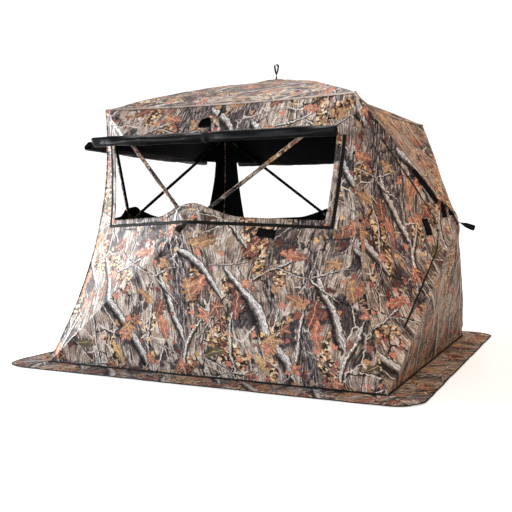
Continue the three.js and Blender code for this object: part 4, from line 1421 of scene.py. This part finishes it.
def make_door():
    rows, points, triangles = cut_wall(1, inside_door)
    door = sheet_mesh("door_cloth", turned(points, 1), triangles, CAMO, LINING,
                      cloth=rows[:, [0, 2]] + print_offset(1))
    door.data.set_sharp_from_angle(angle=CREASE_ANGLE)
    follow(door)
    thicken(door)
    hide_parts("door_panel")


def make_zip():
    """The zip's tape behind the slit, and its coil in the middle of it."""
    inner, outer = matched(door_free_edge(0.013), door_free_edge(-0.012))
    points, _, faces, flat = band(inner, outer, 1, -0.0022, rows=4)
    tape = sheet_mesh("zip_tape", turned(points, 1), faces, TAPE, TAPE, cloth=flat)
    thicken(tape, 0.0008)
    fix_to("door_frame", tape, "door_zip")
    line = door_free_edge(SLIT / 2, 60)
    points, _ = wall_points(line[:, 0], line[:, 1], 1, -0.0008)
    points, faces = tube(points, 0.0014, 6)
    coil = sheet_mesh("zip_coil", turned(points, 1), faces, ZIP_COIL,
                      cloth=cord_cloth(path_length(line), 6, 0.001))
    fix_to("door_frame", coil)


# ---- Strips and patches sewn on the walls ----
def wall_strip(name, start, end, width, turn, lift, material, on_door=False):
    """A flat strip between two points of a wall's front view."""
    start, end = np.array(start), np.array(end)
    run = (end - start) / np.linalg.norm(end - start)
    half = np.array([-run[1], run[0]]) * width / 2
    line = start + (end - start) * np.linspace(0, 1, 24)[:, None]
    points, pull, faces, flat = band(line - half, line + half, turn, lift, rows=5)
    piece = sheet_mesh(name, turned(points, turn), faces, material, LINING, cloth=flat)
    if on_door:
        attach(piece, "door")
    else:
        follow(piece)
    thicken(piece)
    return piece


# ---- Materials in use ----
WOODLAND = woodland_group("woodland_print", True)
NARROW_WOODLAND = woodland_group("woodland_print_narrow", False)
CAMO = camo_material("camo_cloth", WOODLAND)
SKIRT_CAMO = camo_material("camo_skirt", WOODLAND, 0.8, 0.6)
HEM = camo_material("camo_hem", NARROW_WOODLAND, 0.85, 0.55)
SLEEVE_CAMO = camo_material("camo_sleeve", NARROW_WOODLAND, 0.9, 0.55)
PALE_HEM = cloth_material("pale_edge_cord", srgb(176, 160, 150), 0.7)
LINING = cloth_material("black_lining", (0.004, 0.004, 0.0045, 1), 0.6, sheen=0.0, specular=0.06)
ROLL_CLOTH = cloth_material("black_cover_cloth", (0.003, 0.003, 0.004, 1), 0.29, sheen=0.0,
                            specular=0.17)
BOOT_CLOTH = cloth_material("black_pocket_cloth", (0.014, 0.014, 0.014, 1), 0.7)
PATCH_CLOTH = cloth_material("black_patch_cloth", (0.008, 0.008, 0.008, 1), 0.8, sheen=0.0,
                             specular=0.1)
TAPE = webbing_material("black_tape", (0.006, 0.006, 0.006, 1))
ZIP_COIL = webbing_material("zip_coil", (0.012, 0.011, 0.010, 1))
NYLON = moulded_material("black_nylon", (0.02, 0.02, 0.02, 1), 0.5)
ROD = fibreglass_material()
METAL = metal_material()

make_camera()
make_studio()
for window_side in WINDOW_SIDES:
    side_turn = SIDES.index(window_side)
    wall_cloth(side_turn, outside_window)
    window_trim(side_turn)
    make_roll(window_side, side_turn, window_side == "front")
wall_cloth(1, outside_door)
make_roof()
make_piping()
make_skirt()
make_door()
make_zip()
patch = wall_strip("front_patch_cloth", (0.316, 0.726), (0.396, 0.712), 0.040, 0, 0.0026, PATCH_CLOTH)
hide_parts("patch_front")
make_tie()
make_hanger()
make_hood()
wall_strip("slit_right", (-0.345, 1.038), (-0.158, 0.876), 0.026, 1, 0.0030, PATCH_CLOTH)
wall_strip("hub_gusset_right", (-0.118, 0.882), (-0.108, 0.795), 0.030, 1, 0.0040, PATCH_CLOTH)
wall_strip("hub_label_right", (-0.062, 0.868), (-0.058, 0.806), 0.046, 1, 0.0060, PALE_HEM)
wall_strip("door_patch", (-0.270, 0.788), (-0.268, 0.702), 0.050, 1, 0.0024, PATCH_CLOTH,
           on_door=True)

for node_name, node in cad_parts.items():
    node.data.materials.clear()
    if node_name.startswith("pole"):
        node.data.materials.append(ROD)
    elif node_name == "zip_slider":
        node.data.materials.append(METAL)
    else:
        node.data.materials.append(NYLON)

POLE_PLACES = ("lower_left", "lower_right", "upper_right", "upper_left")
for corner_turn, corner_name in enumerate(CORNER_NAMES):
    make_boot(f"lower_{corner_name}", CORNERS[0], corner_turn)
    make_boot(f"upper_{corner_name}", CORNERS[3], corner_turn)
for side_turn, side_name in enumerate(SIDES):
    make_pull_tab(side_name, side_turn)
    wall_hub, wall_out = turned(np.stack([FRONT_HUB, OUTWARD]), side_turn)
    for index, place in enumerate(POLE_PLACES):
        make_sleeve(side_name, place, wall_hub, wall_out, 4 * side_turn + index)
make_pull_tab("roof", None)
for index, place in enumerate(CORNER_NAMES):
    make_sleeve("roof", place, ROOF_HUB, np.array([0, 0, 1.0]), 20 + index)
